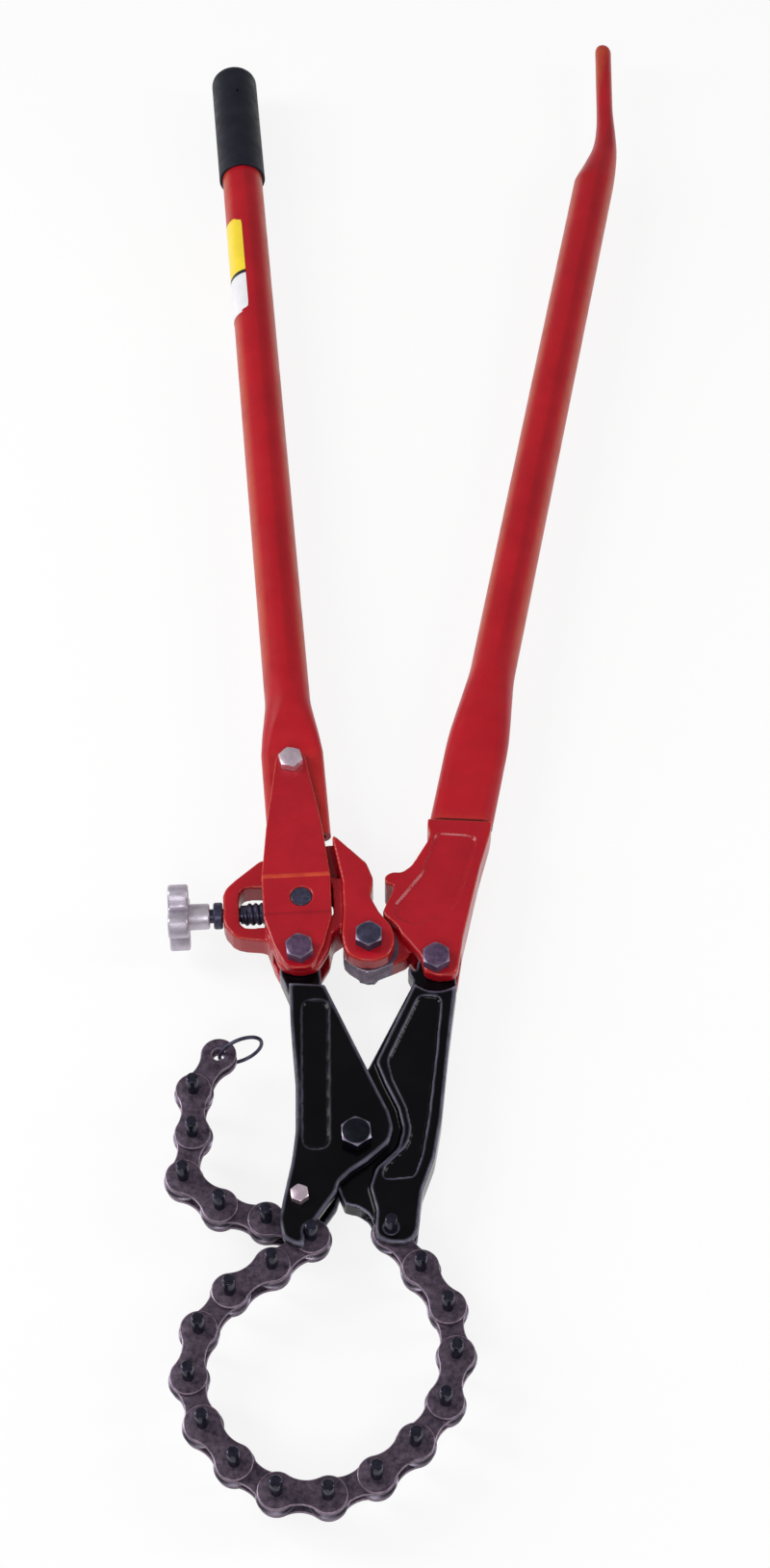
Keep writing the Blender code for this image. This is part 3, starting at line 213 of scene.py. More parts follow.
def dipped_rubber():
    """The grip: matt dipped plastic with a faint bloom and a fine skin."""
    finish, tree, shader = blank("dipped_rubber")
    vector = place_reader(tree)
    tree.links.new(ramp(tree, noise(tree, vector, 38.0, 4.0, 0.6),
                        (0.30, (0.006, 0.0065, 0.012)), (0.72, (0.014, 0.015, 0.026))), shader.inputs["Base Color"])
    tree.links.new(ramp(tree, noise(tree, vector, 120.0, 3.0), (0.3, grey(0.44)), (0.7, grey(0.62))),
                   shader.inputs["Roughness"])
    shader.inputs["Specular IOR Level"].default_value = 0.22
    relief(tree, shader, noise(tree, vector, 800.0, 2.0), 0.3, 0.0001)
    return finish


def label_face(split, line_half):
    """A bare label: yellow above, white below, a black line between. It reads the label's own UV map."""
    finish, tree, shader = blank("label_face")
    where = tree.nodes.new("ShaderNodeUVMap")
    where.uv_map = "label"
    parts = tree.nodes.new("ShaderNodeSeparateXYZ")
    tree.links.new(where.outputs["UV"], parts.inputs["Vector"])
    bands = ramp(tree, parts.outputs["Y"], (0.0, (0.80, 0.79, 0.82)), (split - line_half, (0.012, 0.012, 0.014)),
                 (split + line_half, (0.88, 0.66, 0.035)))
    bands.node.color_ramp.interpolation = "CONSTANT"
    vector = place_reader(tree)
    fade = ramp(tree, noise(tree, vector, 60.0, 4.0, 0.6), (0.3, grey(0.9)), (0.6, grey(1.0)))
    tree.links.new(blend_colours(tree, "MULTIPLY", 1.0, bands, fade), shader.inputs["Base Color"])
    shader.inputs["Roughness"].default_value = 0.32
    relief(tree, shader, noise(tree, vector, 500.0, 2.0), 0.15, 0.00008)
    return finish


def plate_fold_highlight_and_crease_shade(finish, tree, shader, colour):
    """The enamel of a handle plate, with a painted highlight along the fold across the plate and a painted shade in
    the lower crease.
    """
    where = tree.nodes.new("ShaderNodeTexCoord")
    turned = tree.nodes.new("ShaderNodeMapping")
    turned.vector_type = "TEXTURE"
    turned.inputs["Location"].default_value = (LEFT_BOLT.x * MM, LEFT_BOLT.y * MM, 0.0)
    turned.inputs["Rotation"].default_value = (0.0, 0.0, radians(PLATE_LEAN))
    turned.inputs["Scale"].default_value = (0.1, 0.1, 0.1)
    tree.links.new(where.outputs["Object"], turned.inputs["Vector"])
    parts = tree.nodes.new("ShaderNodeSeparateXYZ")
    tree.links.new(turned.outputs["Vector"], parts.inputs["Vector"])
    # A painted highlight band, warm orange, along the fold across the plate.
    fold = ramp(tree, parts.outputs["Y"], (0.590, grey(0.0)), (0.600, grey(0.85)), (0.622, grey(0.55)),
                (0.634, grey(0.0)))
    patchy = ramp(tree, noise(tree, place_reader(tree), 120.0, 3.0, 0.6), (0.30, grey(0.55)), (0.60, grey(1.0)))
    share = blend_colours(tree, "MULTIPLY", 1.0, fold, patchy)
    colour = blend_colours(tree, "MIX", share, colour, (0.62, 0.085, 0.03))
    # A painted shade band along the lower crease.
    crease_shade = ramp(tree, parts.outputs["Y"], (0.290, grey(1.0)), (0.305, grey(0.72)), (0.322, grey(1.0)))
    colour = blend_colours(tree, "MULTIPLY", 1.0, colour, crease_shade)
    tree.links.new(colour, shader.inputs["Base Color"])
    return finish


def tube_side_sheen_and_shade_band(foot, lean, start, finish, tree, shader, colour):
    """The enamel of a tube: where it is round, from start on, a painted sheen, warmer and lighter along both sides,
    and a painted shade band right of the middle.
    """
    where = tree.nodes.new("ShaderNodeTexCoord")
    turned = tree.nodes.new("ShaderNodeMapping")
    turned.vector_type = "TEXTURE"
    edge = Vector(foot) - Vector((cos(radians(lean)), sin(radians(lean)), 0)) * TUBE_RADIUS
    turned.inputs["Location"].default_value = (edge.x * MM, edge.y * MM, 0.0)
    turned.inputs["Rotation"].default_value = (0.0, 0.0, radians(lean))
    turned.inputs["Scale"].default_value = (2 * TUBE_RADIUS * MM, 1.0, 1.0)
    tree.links.new(where.outputs["Object"], turned.inputs["Vector"])
    parts = tree.nodes.new("ShaderNodeSeparateXYZ")
    tree.links.new(turned.outputs["Vector"], parts.inputs["Vector"])
    # Painted sheen, warm orange, along both sides of the tube.
    sides = ramp(tree, parts.outputs["X"], (0.03, grey(0.75)), (0.13, grey(0.45)), (0.22, grey(0.0)),
                 (0.80, grey(0.0)), (0.88, grey(0.4)), (0.97, grey(0.75)))
    rounded = ramp(tree, parts.outputs["Y"], (start - 0.05, grey(0.0)), (start, grey(1.0)))
    sides = blend_colours(tree, "MULTIPLY", 1.0, sides, rounded)
    patchy = ramp(tree, noise(tree, place_reader(tree), 90.0, 4.0, 0.6), (0.30, grey(0.45)), (0.62, grey(1.0)))
    share = blend_colours(tree, "MULTIPLY", 1.0, sides, patchy)
    colour = blend_colours(tree, "MIX", share, colour, (0.46, 0.075, 0.026))
    # A painted shade band along the tube, right of its middle.
    shade_band = ramp(tree, parts.outputs["X"], (0.52, grey(1.0)), (0.60, grey(0.85)), (0.70, grey(0.85)),
               (0.80, grey(1.0)))
    colour = blend_colours(tree, "MULTIPLY", rounded, colour, shade_band)
    tree.links.new(colour, shader.inputs["Base Color"])
    return finish


def painted_seam_shadow(finish):
    """Darkens the right tube's end with a painted shadow, where the socket's lip shades the seam."""
    tree, shader = finish.node_tree, finish.node_tree.nodes["Principled BSDF"]
    colour = shader.inputs["Base Color"].links[0].from_socket
    where = tree.nodes.new("ShaderNodeTexCoord")
    turned = tree.nodes.new("ShaderNodeMapping")
    turned.vector_type = "TEXTURE"
    end = RIGHT_FOOT.y + RIGHT_TUBE_START * cos(radians(RIGHT_TUBE_LEAN))
    turned.inputs["Location"].default_value = (0.0, end * MM, 0.0)
    turned.inputs["Scale"].default_value = (0.01, 0.01, 0.01)
    tree.links.new(where.outputs["Object"], turned.inputs["Vector"])
    parts = tree.nodes.new("ShaderNodeSeparateXYZ")
    tree.links.new(turned.outputs["Vector"], parts.inputs["Vector"])
    # A painted shadow darkening the tube's end just above the socket's lip.
    seam_shadow = ramp(tree, parts.outputs["Y"], (0.0, grey(0.12)), (0.20, grey(0.22)), (0.32, grey(1.0)))
    tree.links.new(blend_colours(tree, "MULTIPLY", 1.0, colour, seam_shadow), shader.inputs["Base Color"])
    return finish


# The orange edge colours in the red enamels are partly thin-paint wear and partly a painted highlight.
CAST_RED = ((0.34, 0.0040, 0.0125), (0.43, 0.006, 0.016), (0.70, 0.115, 0.035), 0.27, 0.00022, 0.9, 0.522, 0.575)
RED = enamel("red_enamel", *CAST_RED)[0]
PLATE_RED = plate_fold_highlight_and_crease_shade(*enamel("red_plate_enamel", *CAST_RED))
TUBE_RED = ((0.37, 0.005, 0.013), (0.45, 0.008, 0.016), (0.55, 0.05, 0.03), 0.34, 0.00016, 0.4)
LEFT_TUBE_RED = tube_side_sheen_and_shade_band(LEFT_FOOT, LEFT_TUBE_LEAN, 0.11, *enamel("red_left_tube_enamel", *TUBE_RED, shine=0.3))
RIGHT_TUBE_RED = painted_seam_shadow(tube_side_sheen_and_shade_band(RIGHT_FOOT, -RIGHT_TUBE_LEAN, 0.29,
                                         *enamel("red_right_tube_enamel", *TUBE_RED, shine=0.3)))
# The black enamel's light purple edge colour is a painted highlight along the jaws' rims.
BLACK = enamel("black_enamel", (0.0010, 0.0009, 0.0016), (0.0024, 0.0021, 0.0036), (0.26, 0.24, 0.34), 0.19,
               0.0002, 1.0, soft=0.508, full=0.548, shine=0.16)[0]
FASTENER = metal("blackened_bolt_steel", (0.028, 0.027, 0.050), (0.075, 0.069, 0.125), 0.38, 0.45, patch=260.0,
                 shine=0.3)
LINK_BOLT = metal("purple_bolt_steel", (0.064, 0.036, 0.078), (0.160, 0.098, 0.185), 0.38, 0.45, patch=260.0,
                  shine=0.3)
PIVOT_BOLT = metal("black_bolt_steel", (0.003, 0.004, 0.008), (0.010, 0.012, 0.020), 0.36, 0.4, patch=260.0,
                   shine=0.2)
# A lighter rim finish for bolt chamfers: partly rubbed steel, partly a painted highlight.
BOLT_RIM = metal("rubbed_and_highlit_bolt_rim", (0.10, 0.08, 0.13), (0.30, 0.26, 0.36), 0.32, 0.6, patch=260.0)
ZINC = metal("bright_zinc", (0.66, 0.50, 0.60), (0.92, 0.76, 0.86), 0.36, 0.85)
CAST_ZINC = metal("satin_cast_zinc", (0.36, 0.31, 0.39), (0.52, 0.46, 0.55), 0.42, 0.7, edge=(0.8, 0.78, 0.84),
                  bump=0.0002)
PLATE_STEEL = metal("oiled_link_plate", (0.022, 0.016, 0.030), (0.125, 0.090, 0.130), 0.42, 0.35, bump=0.0003,
                    grain=300.0, patch=240.0, shine=0.3)
# A lighter rim finish for link plate bevels: partly rubbed steel, partly a painted highlight.
PLATE_RIM = metal("rubbed_and_highlit_link_rim", (0.10, 0.065, 0.105), (0.42, 0.31, 0.41), 0.34, 0.5, patch=120.0)
PIN_STEEL = metal("oiled_pin_steel", (0.010, 0.010, 0.020), (0.034, 0.032, 0.058), 0.2, 0.6,
                  patch=240.0)
# The wheel's light edge colour is partly ground steel and partly a painted glint on its rims.
WHEEL_STEEL = metal("ground_wheel_steel", (0.026, 0.021, 0.034), (0.105, 0.088, 0.120), 0.34, 0.8,
                    edge=(0.50, 0.45, 0.55), soft=0.52, full=0.58)
# The lug's light edge colour is partly machined steel and partly a painted highlight on its wall.
BARE_LUG = metal("machined_lug", (0.06, 0.040, 0.07), (0.24, 0.18, 0.26), 0.45, 0.5, edge=(0.70, 0.60, 0.72),
                 edge_share=0.8, soft=0.52, full=0.57)
RUBBER = dipped_rubber()


# Ways of making pieces.

def placed(bm, finish, name, body, slot, *replaced, smooth_under=35):
    """Turns a bmesh that is in metres into a finished piece that rides on a body."""
    mesh = bpy.data.meshes.new(name)
    bm.to_mesh(mesh)
    bm.free()
    piece = bpy.data.objects.new(name, mesh)
    bpy.context.scene.collection.objects.link(piece)
    for each in finish if isinstance(finish, (list, tuple)) else [finish]:
        mesh.materials.append(each)
    mesh.shade_smooth()
    mesh.set_sharp_from_angle(angle=radians(smooth_under))
    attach(piece, body)
    if replaced:
        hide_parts(*replaced)
    return piece


def rims_rubbed_and_highlit(piece, finish):
    """Gives the sloping faces round a flat top their own lighter finish, partly steel rubbed bright and partly a
    painted highlight.
    """
    mesh = piece.data
    mesh.materials.append(finish)
    for face in mesh.polygons:
        if face.material_index == 0 and 0.2 < abs(face.normal.z) < 0.95:
            face.material_index = len(mesh.materials) - 1


def spun(profile, steps=48, closed=False):
    """A solid turned round Z from (radius, height) points. It begins and ends on the axis, or is a ring."""
    bm = bmesh.new()
    dots = [bm.verts.new((r * MM, 0.0, z * MM)) for r, z in profile]
    lines = [bm.edges.new(pair) for pair in zip(dots, dots[1:])]
    if closed:
        lines.append(bm.edges.new((dots[-1], dots[0])))
    bmesh.ops.spin(bm, geom=dots + lines, cent=(0, 0, 0), axis=(0, 0, 1), angle=2 * pi, steps=steps,
                   use_merge=True)
    bmesh.ops.remove_doubles(bm, verts=bm.verts, dist=1e-6)
    bmesh.ops.recalc_face_normals(bm, faces=bm.faces)
    return bm


def shifted(bm, x, y, z=0.0):
    bmesh.ops.translate(bm, verts=bm.verts, vec=Vector((x, y, z)) * MM)
    return bm


def pointed(bm, at, direction):
    """Turns +Z of a shape into a direction, with its zero at a point in millimetres."""
    turn = Vector((0, 0, 1)).rotation_difference(Vector(direction)).to_matrix().to_4x4()
    bmesh.ops.transform(bm, matrix=Matrix.Translation(Vector(at) * MM) @ turn, verts=bm.verts)
    return bm


def gathered(*shapes, marks=None):
    """Puts several shapes into one bmesh; marks gives each one's material number."""
    whole = bmesh.new()
    for number, shape in enumerate(shapes):
        for face in shape.faces:
            face.material_index = marks[number] if marks else 0
        part = bpy.data.meshes.new("part")
        shape.to_mesh(part)
        shape.free()
        whole.from_mesh(part)
        bpy.data.meshes.remove(part)
    return whole


def worked(bm, *modifiers):
    """Runs modifiers, written (type, settings), on a bmesh and gives the result as a bmesh."""
    mesh = bpy.data.meshes.new("worked")
    bm.to_mesh(mesh)
    bm.free()
    holder = bpy.data.objects.new("worked", mesh)
    bpy.context.scene.collection.objects.link(holder)
    tools = []
    for kind, settings in modifiers:
        modifier = holder.modifiers.new(kind, kind)
        for key, value in settings.items():
            if isinstance(value, bmesh.types.BMesh):
                tool_mesh = bpy.data.meshes.new("tool")
                value.to_mesh(tool_mesh)
                value.free()
                value = bpy.data.objects.new("tool", tool_mesh)
                bpy.context.scene.collection.objects.link(value)
                tools.append(value)
            setattr(modifier, key, value)
    graph = bpy.context.evaluated_depsgraph_get()
    result = bmesh.new()
    result.from_mesh(holder.evaluated_get(graph).to_mesh())
    for used in [holder, *tools]:
        bpy.data.objects.remove(used, do_unlink=True)
    return result


def common(bm, tool):
    """What two solids share."""
    return worked(bm, ("BOOLEAN", {"operation": "INTERSECT", "solver": "EXACT", "object": tool}))


def raised(bm, low, high, rim=0.0, steps=2):
    """Lifts a flat face that lies at zero into a solid between two heights, with both rims rounded."""
    bmesh.ops.translate(bm, verts=bm.verts, vec=(0, 0, low * MM))
    grown = bmesh.ops.extrude_face_region(bm, geom=list(bm.faces))
    tops = [item for item in grown["geom"] if isinstance(item, bmesh.types.BMVert)]
    bmesh.ops.translate(bm, verts=tops, vec=(0, 0, (high - low) * MM))
    bmesh.ops.recalc_face_normals(bm, faces=bm.faces)
    if rim:
        rims = [edge for edge in bm.edges if edge.calc_face_angle(0.0) > 1.2
                and abs(edge.verts[0].co.z - edge.verts[1].co.z) < 1e-7]
        bmesh.ops.bevel(bm, geom=rims, offset=rim * MM, segments=steps, profile=0.5, affect="EDGES", material=-1)
    return bm


def casting(node, body, finish, name, slot, voxel, passes):
    """A copy of a node's solid, remeshed finely and smoothed, so that its edges are as round as cast ones."""
    bm = bmesh.new()
    bm.from_mesh(nodes[node].data)
    bmesh.ops.remove_doubles(bm, verts=bm.verts, dist=1e-6)
    bm = worked(bm, ("REMESH", {"mode": "VOXEL", "voxel_size": voxel * MM}),
                ("SMOOTH", {"factor": 0.5, "iterations": passes}))
    return placed(bm, finish, name, body, slot, node, smooth_under=180)


# Castings, jaws and plates.

def make_castings():
    casting("left_jaw", "left_jaw_body", BLACK, "left_jaw_casting", "black_paint", 0.95, 5)
    casting("right_jaw", "right_jaw_body", BLACK, "right_jaw_casting", "black_paint", 0.95, 5)
    casting("yoke", "yoke_body", RED, "yoke_casting", "red_paint", 0.95, 5)
    socket = casting("handle_socket", "right_handle", RED, "socket_casting", "red_paint", 0.95, 5)
    socket.data.materials.append(BARE_LUG)
    for face in socket.data.polygons:
        place = face.center / MM
        if abs(place.z - MIDDLE) < 8.3 and (place - TOGGLE_BOLT).to_2d().length < LUG_RADIUS:
            face.material_index = 1
    casting("front_handle_plate", "left_handle", PLATE_RED, "front_plate", "red_paint", 0.8, 4)
    casting("rear_handle_plate", "left_handle", PLATE_RED, "rear_plate", "red_paint", 0.8, 4)


# Handles.

def tube_shell(stations, wall, closed_top):
    """A tube drawn along +Z from stations (up, across, half width, half thickness), pushed up ring by ring
    and turned back inside itself at its open end."""
    bm = bmesh.new()
    ring = bmesh.ops.create_circle(bm, segments=72, radius=1.0)["verts"]
    angles = {dot: atan2(dot.co.y, dot.co.x) for dot in ring}
    rows = [(stations[0][0] + 45.0, 0.0, stations[0][2] - wall, stations[0][3] - wall),
            (stations[0][0], 0.0, stations[0][2] - wall, stations[0][3] - wall)]
    rows += list(stations)
    edges = list(bm.edges)
    current = list(ring)
    for number, row in enumerate(rows):
        if number:
            grown = bmesh.ops.extrude_edge_only(bm, edges=edges)["geom"]
            fresh = [item for item in grown if isinstance(item, bmesh.types.BMVert)]
            edges = [item for item in grown if isinstance(item, bmesh.types.BMEdge)]
            matched = {}
            for dot in fresh:
                matched[dot] = min(angles, key=lambda old: (old.co - dot.co).length)
            angles = {dot: angles[old] for dot, old in matched.items()}
            current = fresh
        up, across, width, thick = row
        for dot in current:
            angle = angles[dot]
            side = 0.0 if abs(cos(angle)) < 1e-4 else (width - thick) * (1 if cos(angle) > 0 else -1)
            dot.co = Vector((across + thick * cos(angle) + side, thick * sin(angle), up)) * MM
    if closed_top:
        bmesh.ops.contextual_create(bm, geom=edges)
    first = [edge for edge in bm.edges if edge.is_boundary and edge not in edges]
    bmesh.ops.contextual_create(bm, geom=first)
    bmesh.ops.recalc_face_normals(bm, faces=bm.faces)
    return bm


def square_end(bm, start):
    """Cuts a tube's open end parallel to the tool's X axis: the rows near it slide, those 40 mm on stay."""
    for dot in bm.verts:
        up = dot.co.z / MM
        share = min(max(1.0 - (up - start) / 40.0, 0.0), 1.0)
        dot.co.z += share * dot.co.x * tan(radians(RIGHT_TUBE_LEAN))


def eased(stations, between=6):
    """Fills in stations along a smooth curve through the given ones."""
    filled = []
    count = len(stations)
    for index in range(count - 1):
        before = stations[max(0, index - 1)]
        here, there = stations[index], stations[index + 1]
        after = stations[min(count - 1, index + 2)]
        for step in range(between):
            t = step / between
            row = []
            for a, b, c, d in zip(before, here, there, after):
                low, high = min(b, c), max(b, c)
                curve = 0.5 * (2 * b + (c - a) * t + (2 * a - 5 * b + 4 * c - d) * t * t
                               + (3 * b - a - 3 * c + d) * t * t * t)
                row.append(min(max(curve, low), high))
            filled.append(tuple(row))
    filled.append(stations[-1])
    return filled


def make_handles():
    low = [(-58.0, 0, 22.5, 6.5), (15.0, 0, 22.5, 6.5)]
    flare = eased([(15.0, 0, 22.5, 6.5), (32.0, 0, 20.6, 9.8), (48.0, 0, 18.2, 14.2), (62.0, 0, 16.7, 16.7),
                   (90.0, 0, 16.7, 16.7)])
    upper = [(90.0 + 40.0 * step, 0, 16.7, 16.7) for step in range(1, 16)]
    bm = tube_shell(low[:1] + flare + upper + [(729.0, 0, 16.7, 16.7)], 3.4, True)
    lay_tube(bm, LEFT_FOOT, LEFT_TUBE_LEAN)
    bore = shifted(spun([(0, -30), (5.1, -30), (5.1, 30), (0, 30)], 32), HANDLE_BOLT.x, HANDLE_BOLT.y, MIDDLE)
    bm = worked(bm, ("BOOLEAN", {"operation": "DIFFERENCE", "solver": "EXACT", "object": bore}))
    placed(bm, LEFT_TUBE_RED, "left_tube", "left_handle", "red_paint", "left_handle_tube")

    rows = eased([(RIGHT_TUBE_START, 0, 22.4, 9.5), (188.0, 0, 22.4, 10.1), (214.0, 0, 20.8, 12.4),
                  (236.0, 0, 18.6, 15.0), (260.0, 0, 16.7, 16.7), (300.0, 0, 16.7, 16.7)], 8)
    rows += [(300.0 + 40.0 * step, 0, 16.7, 16.7) for step in range(1, 12)]
    rows += eased([(770.0, 0, 16.7, 16.7), (783.0, 0, 16.7, 16.7), (805.0, 2.2, 13.6, 13.6),
                   (827.0, 3.2, 10.4, 10.4), (851.0, 0.6, 8.2, 8.2), (881.0, -4.6, 7.0, 7.0),
                   (949.0, -15.5, 7.0, 7.0)], 8)
    rows += [(951.5, -15.9, 6.8, 6.8), (953.6, -16.25, 6.1, 6.1), (955.0, -16.5, 4.6, 4.6)]
    bm = tube_shell(rows, 3.4, True)
    square_end(bm, RIGHT_TUBE_START)
    lay_tube(bm, RIGHT_FOOT, -RIGHT_TUBE_LEAN)
    placed(bm, RIGHT_TUBE_RED, "right_tube", "right_handle", "red_paint", "right_handle_tube")

    sleeve = [(17.0, 611.0), (18.9, 611.0), (19.3, 611.5), (19.3, 728.0), (19.1, 730.2), (18.4, 732.4),
              (17.2, 734.2), (15.4, 735.4), (13.0, 736.0), (0, 736.0)]
    bm = spun([(17.0, 640.0), *sleeve], 96)
    bmesh.ops.contextual_create(bm, geom=[edge for edge in bm.edges if edge.is_boundary])
    bmesh.ops.recalc_face_normals(bm, faces=bm.faces)
    pointed(bm, LEFT_FOOT, LEFT_UP)
    spot = LEFT_FOOT + LEFT_UP * 702.0 + LEFT_SIDE * 2.0
    vent = shifted(spun([(0, 0), (1.4, 0), (1.7, 30), (0, 30)], 20), spot.x, spot.y, MIDDLE + 17.5)
    bm = worked(bm, ("BOOLEAN", {"operation": "DIFFERENCE", "solver": "EXACT", "object": vent}))
    placed(bm, RUBBER, "grip_sleeve", "left_handle", "grip_rubber", "handle_grip")


def lay_tube(bm, foot, lean):
    """Lays a tube drawn along +Z into the tool's plane: its width stays in the plane."""
    up = Vector((-sin(radians(lean)), cos(radians(lean)), 0))
    side = Vector((cos(radians(lean)), sin(radians(lean)), 0))
    turn = Matrix((side, -Vector((0, 0, 1)), up)).transposed().to_4x4()
    if turn.determinant() < 0:
        turn = Matrix((side, Vector((0, 0, 1)), up)).transposed().to_4x4()
    bmesh.ops.transform(bm, matrix=Matrix.Translation(Vector(foot) * MM) @ turn, verts=bm.verts)
    bmesh.ops.recalc_face_normals(bm, faces=bm.faces)


def make_label():
    """A bare two-colour label wrapped round the tube's left half."""
    bm = bmesh.new()
    columns, rows = 30, 24
    bmesh.ops.create_grid(bm, x_segments=columns, y_segments=rows, size=0.5)
    corner, wide, tall = 7.0, 118.0, 107.0
    marks = bm.loops.layers.uv.new("label")
    for face in bm.faces:
        for loop in face.loops:
            loop[marks].uv = (loop.vert.co.x + 0.5, loop.vert.co.y + 0.5)
    for dot in bm.verts:
        across, up = dot.co.x, dot.co.y
        reach = 0.5 * tall - abs(up * tall)
        arc_wide = TUBE_RADIUS * radians(wide)
        pull = corner - sqrt(max(0.0, corner ** 2 - max(0.0, corner - reach) ** 2))
        shrink = 1.0 - 2 * pull / arc_wide
        turn = radians(73.0 - across * wide * shrink)
        radius = TUBE_RADIUS + 0.18
        dot.co = Vector((-radius * sin(turn), radius * cos(turn), (up * tall))) * MM
    middle = 498.0
    turn = Matrix((LEFT_SIDE, Vector((0, 0, 1)), LEFT_UP)).transposed().to_4x4()
    at = LEFT_FOOT + LEFT_UP * middle
    bmesh.ops.transform(bm, matrix=Matrix.Translation(at * MM) @ turn, verts=bm.verts)
    bmesh.ops.recalc_face_normals(bm, faces=bm.faces)
    middle_of_all = sum((face.normal.dot(Vector((face.calc_center_median() - at * MM))) for face in bm.faces))
    if middle_of_all < 0:
        bmesh.ops.reverse_faces(bm, faces=bm.faces)
    bm = worked(bm, ("SOLIDIFY", {"thickness": 0.12 * MM, "offset": 0.0}))
    placed(bm, label_face(0.405, 0.017), "bare_label", "left_handle", "red_paint", smooth_under=60)


# Fasteners.

def hex_solid(flats, low, high, turn, chamfer_low=False):
    """A hexagon bar whose top corners are turned off, as on a bolt head; a nut has both ends turned."""
    radius = flats / sqrt(3)
    bm = bmesh.new()
    bmesh.ops.create_cone(bm, cap_ends=True, segments=6, radius1=radius * MM, radius2=radius * MM,
                          depth=(high - low) * MM)
    bmesh.ops.rotate(bm, verts=bm.verts, cent=(0, 0, 0), matrix=Matrix.Rotation(radians(turn), 3, "Z"))
    bmesh.ops.translate(bm, verts=bm.verts, vec=(0, 0, (high + low) / 2 * MM))
    flat = 0.475 * flats
    drop = (radius + 1.0 - flat) * 0.55
    top = [(0, high), (flat, high), (radius + 1.0, high - drop)]
    foot = [(radius + 1.0, low + drop), (flat, low), (0, low)] if chamfer_low else \
        [(radius + 1.0, low - 0.5), (0, low - 0.5)]
    bm = common(bm, spun(foot[::-1] + top[::-1], 72))
    bmesh.ops.remove_doubles(bm, verts=bm.verts, dist=2e-6)
    return bm


def thread_end(radius, low, high, pitch=1.5):
    """The plain end of a bolt: thread grooves and a turned point, from its end up into the nut."""
    profile = [(0, low), (radius - 1.2, low), (radius - 0.3, low + 0.9)]
    up = low + 1.2
    while up < high - pitch:
        profile += [(radius, up), (radius, up + 0.35 * pitch), (radius - 0.55, up + 0.7 * pitch)]
        up += pitch
    profile += [(radius - 0.4, high), (0, high)]
    return spun(profile, 40)


def make_bolt(bolt_node, nut_node, body, finish, slot, shank, flats, head, nut_high, head_turn, nut_turn):
    low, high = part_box(bolt_node)
    at = (low + high) / 2 / MM
    rim = ZINC if finish is ZINC else BOLT_RIM
    low, high = low.z / MM, high.z / MM
    head_shape = hex_solid(flats, high - head, high, head_turn)
    if nut_node:
        nut_low, nut_top = (corner.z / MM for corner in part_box(nut_node))
        grown = thread_end(shank, low, nut_top + 1.0)
        stem = spun([(0, nut_top + 1.0), (shank, nut_top + 1.0), (shank, high - head + 0.5),
                     (0, high - head + 0.5)], 40)
        shape = gathered(head_shape, grown, stem)
        nut = placed(shifted(hex_solid(flats, nut_low, nut_top, nut_turn, True), at.x, at.y), finish,
                     nut_node + "_hex", body, slot, nut_node)
        rims_rubbed_and_highlit(nut, rim)
    else:
        stem = thread_end(shank, low, high - head + 0.5)
        shape = gathered(head_shape, stem)
    rims_rubbed_and_highlit(placed(shifted(shape, at.x, at.y), finish, bolt_node + "_hex", body, slot, bolt_node), rim)


def make_fasteners():
    make_bolt("pivot_bolt", "pivot_nut", "left_jaw_body", PIVOT_BOLT, "dark_steel", 6.35, 19.0, 8.1, 11.0, 8, 20)
    make_bolt("left_link_bolt", "left_link_nut", "yoke_body", LINK_BOLT, "dark_steel", 5.6, 17.5, 8.0, 9.4, 12, 3)
    make_bolt("right_link_bolt", "right_link_nut", "right_handle", LINK_BOLT, "dark_steel", 5.6, 17.5, 8.0, 9.4,
              5, 17)
    make_bolt("toggle_bolt", "toggle_nut", "yoke_body", FASTENER, "dark_steel", 5.6, 17.5, 8.0, 9.4, 2, 25)
    make_bolt("handle_bolt", "handle_nut", "left_handle", ZINC, "zinc_plate", 4.8, 15.5, 6.5, 8.0, 20, 8)
    low, high = (corner.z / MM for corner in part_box("keeper_bolt"))
    head = hex_solid(11.0, high - 5.5, high, 12)
    stem = spun([(0, low), (2.6, low), (3.2, low + 0.7), (3.2, MIDDLE - 8.4), (5.2, MIDDLE - 8.4),
                 (5.2, MIDDLE + 8.4), (3.2, MIDDLE + 8.4), (3.2, high - 5.2), (0, high - 5.2)], 40)
    placed(shifted(gathered(head, stem), KEEPER_BOLT.x, KEEPER_BOLT.y), ZINC, "keeper_screw", "left_jaw_body",
           "zinc_plate", "keeper_bolt")


# The chain.

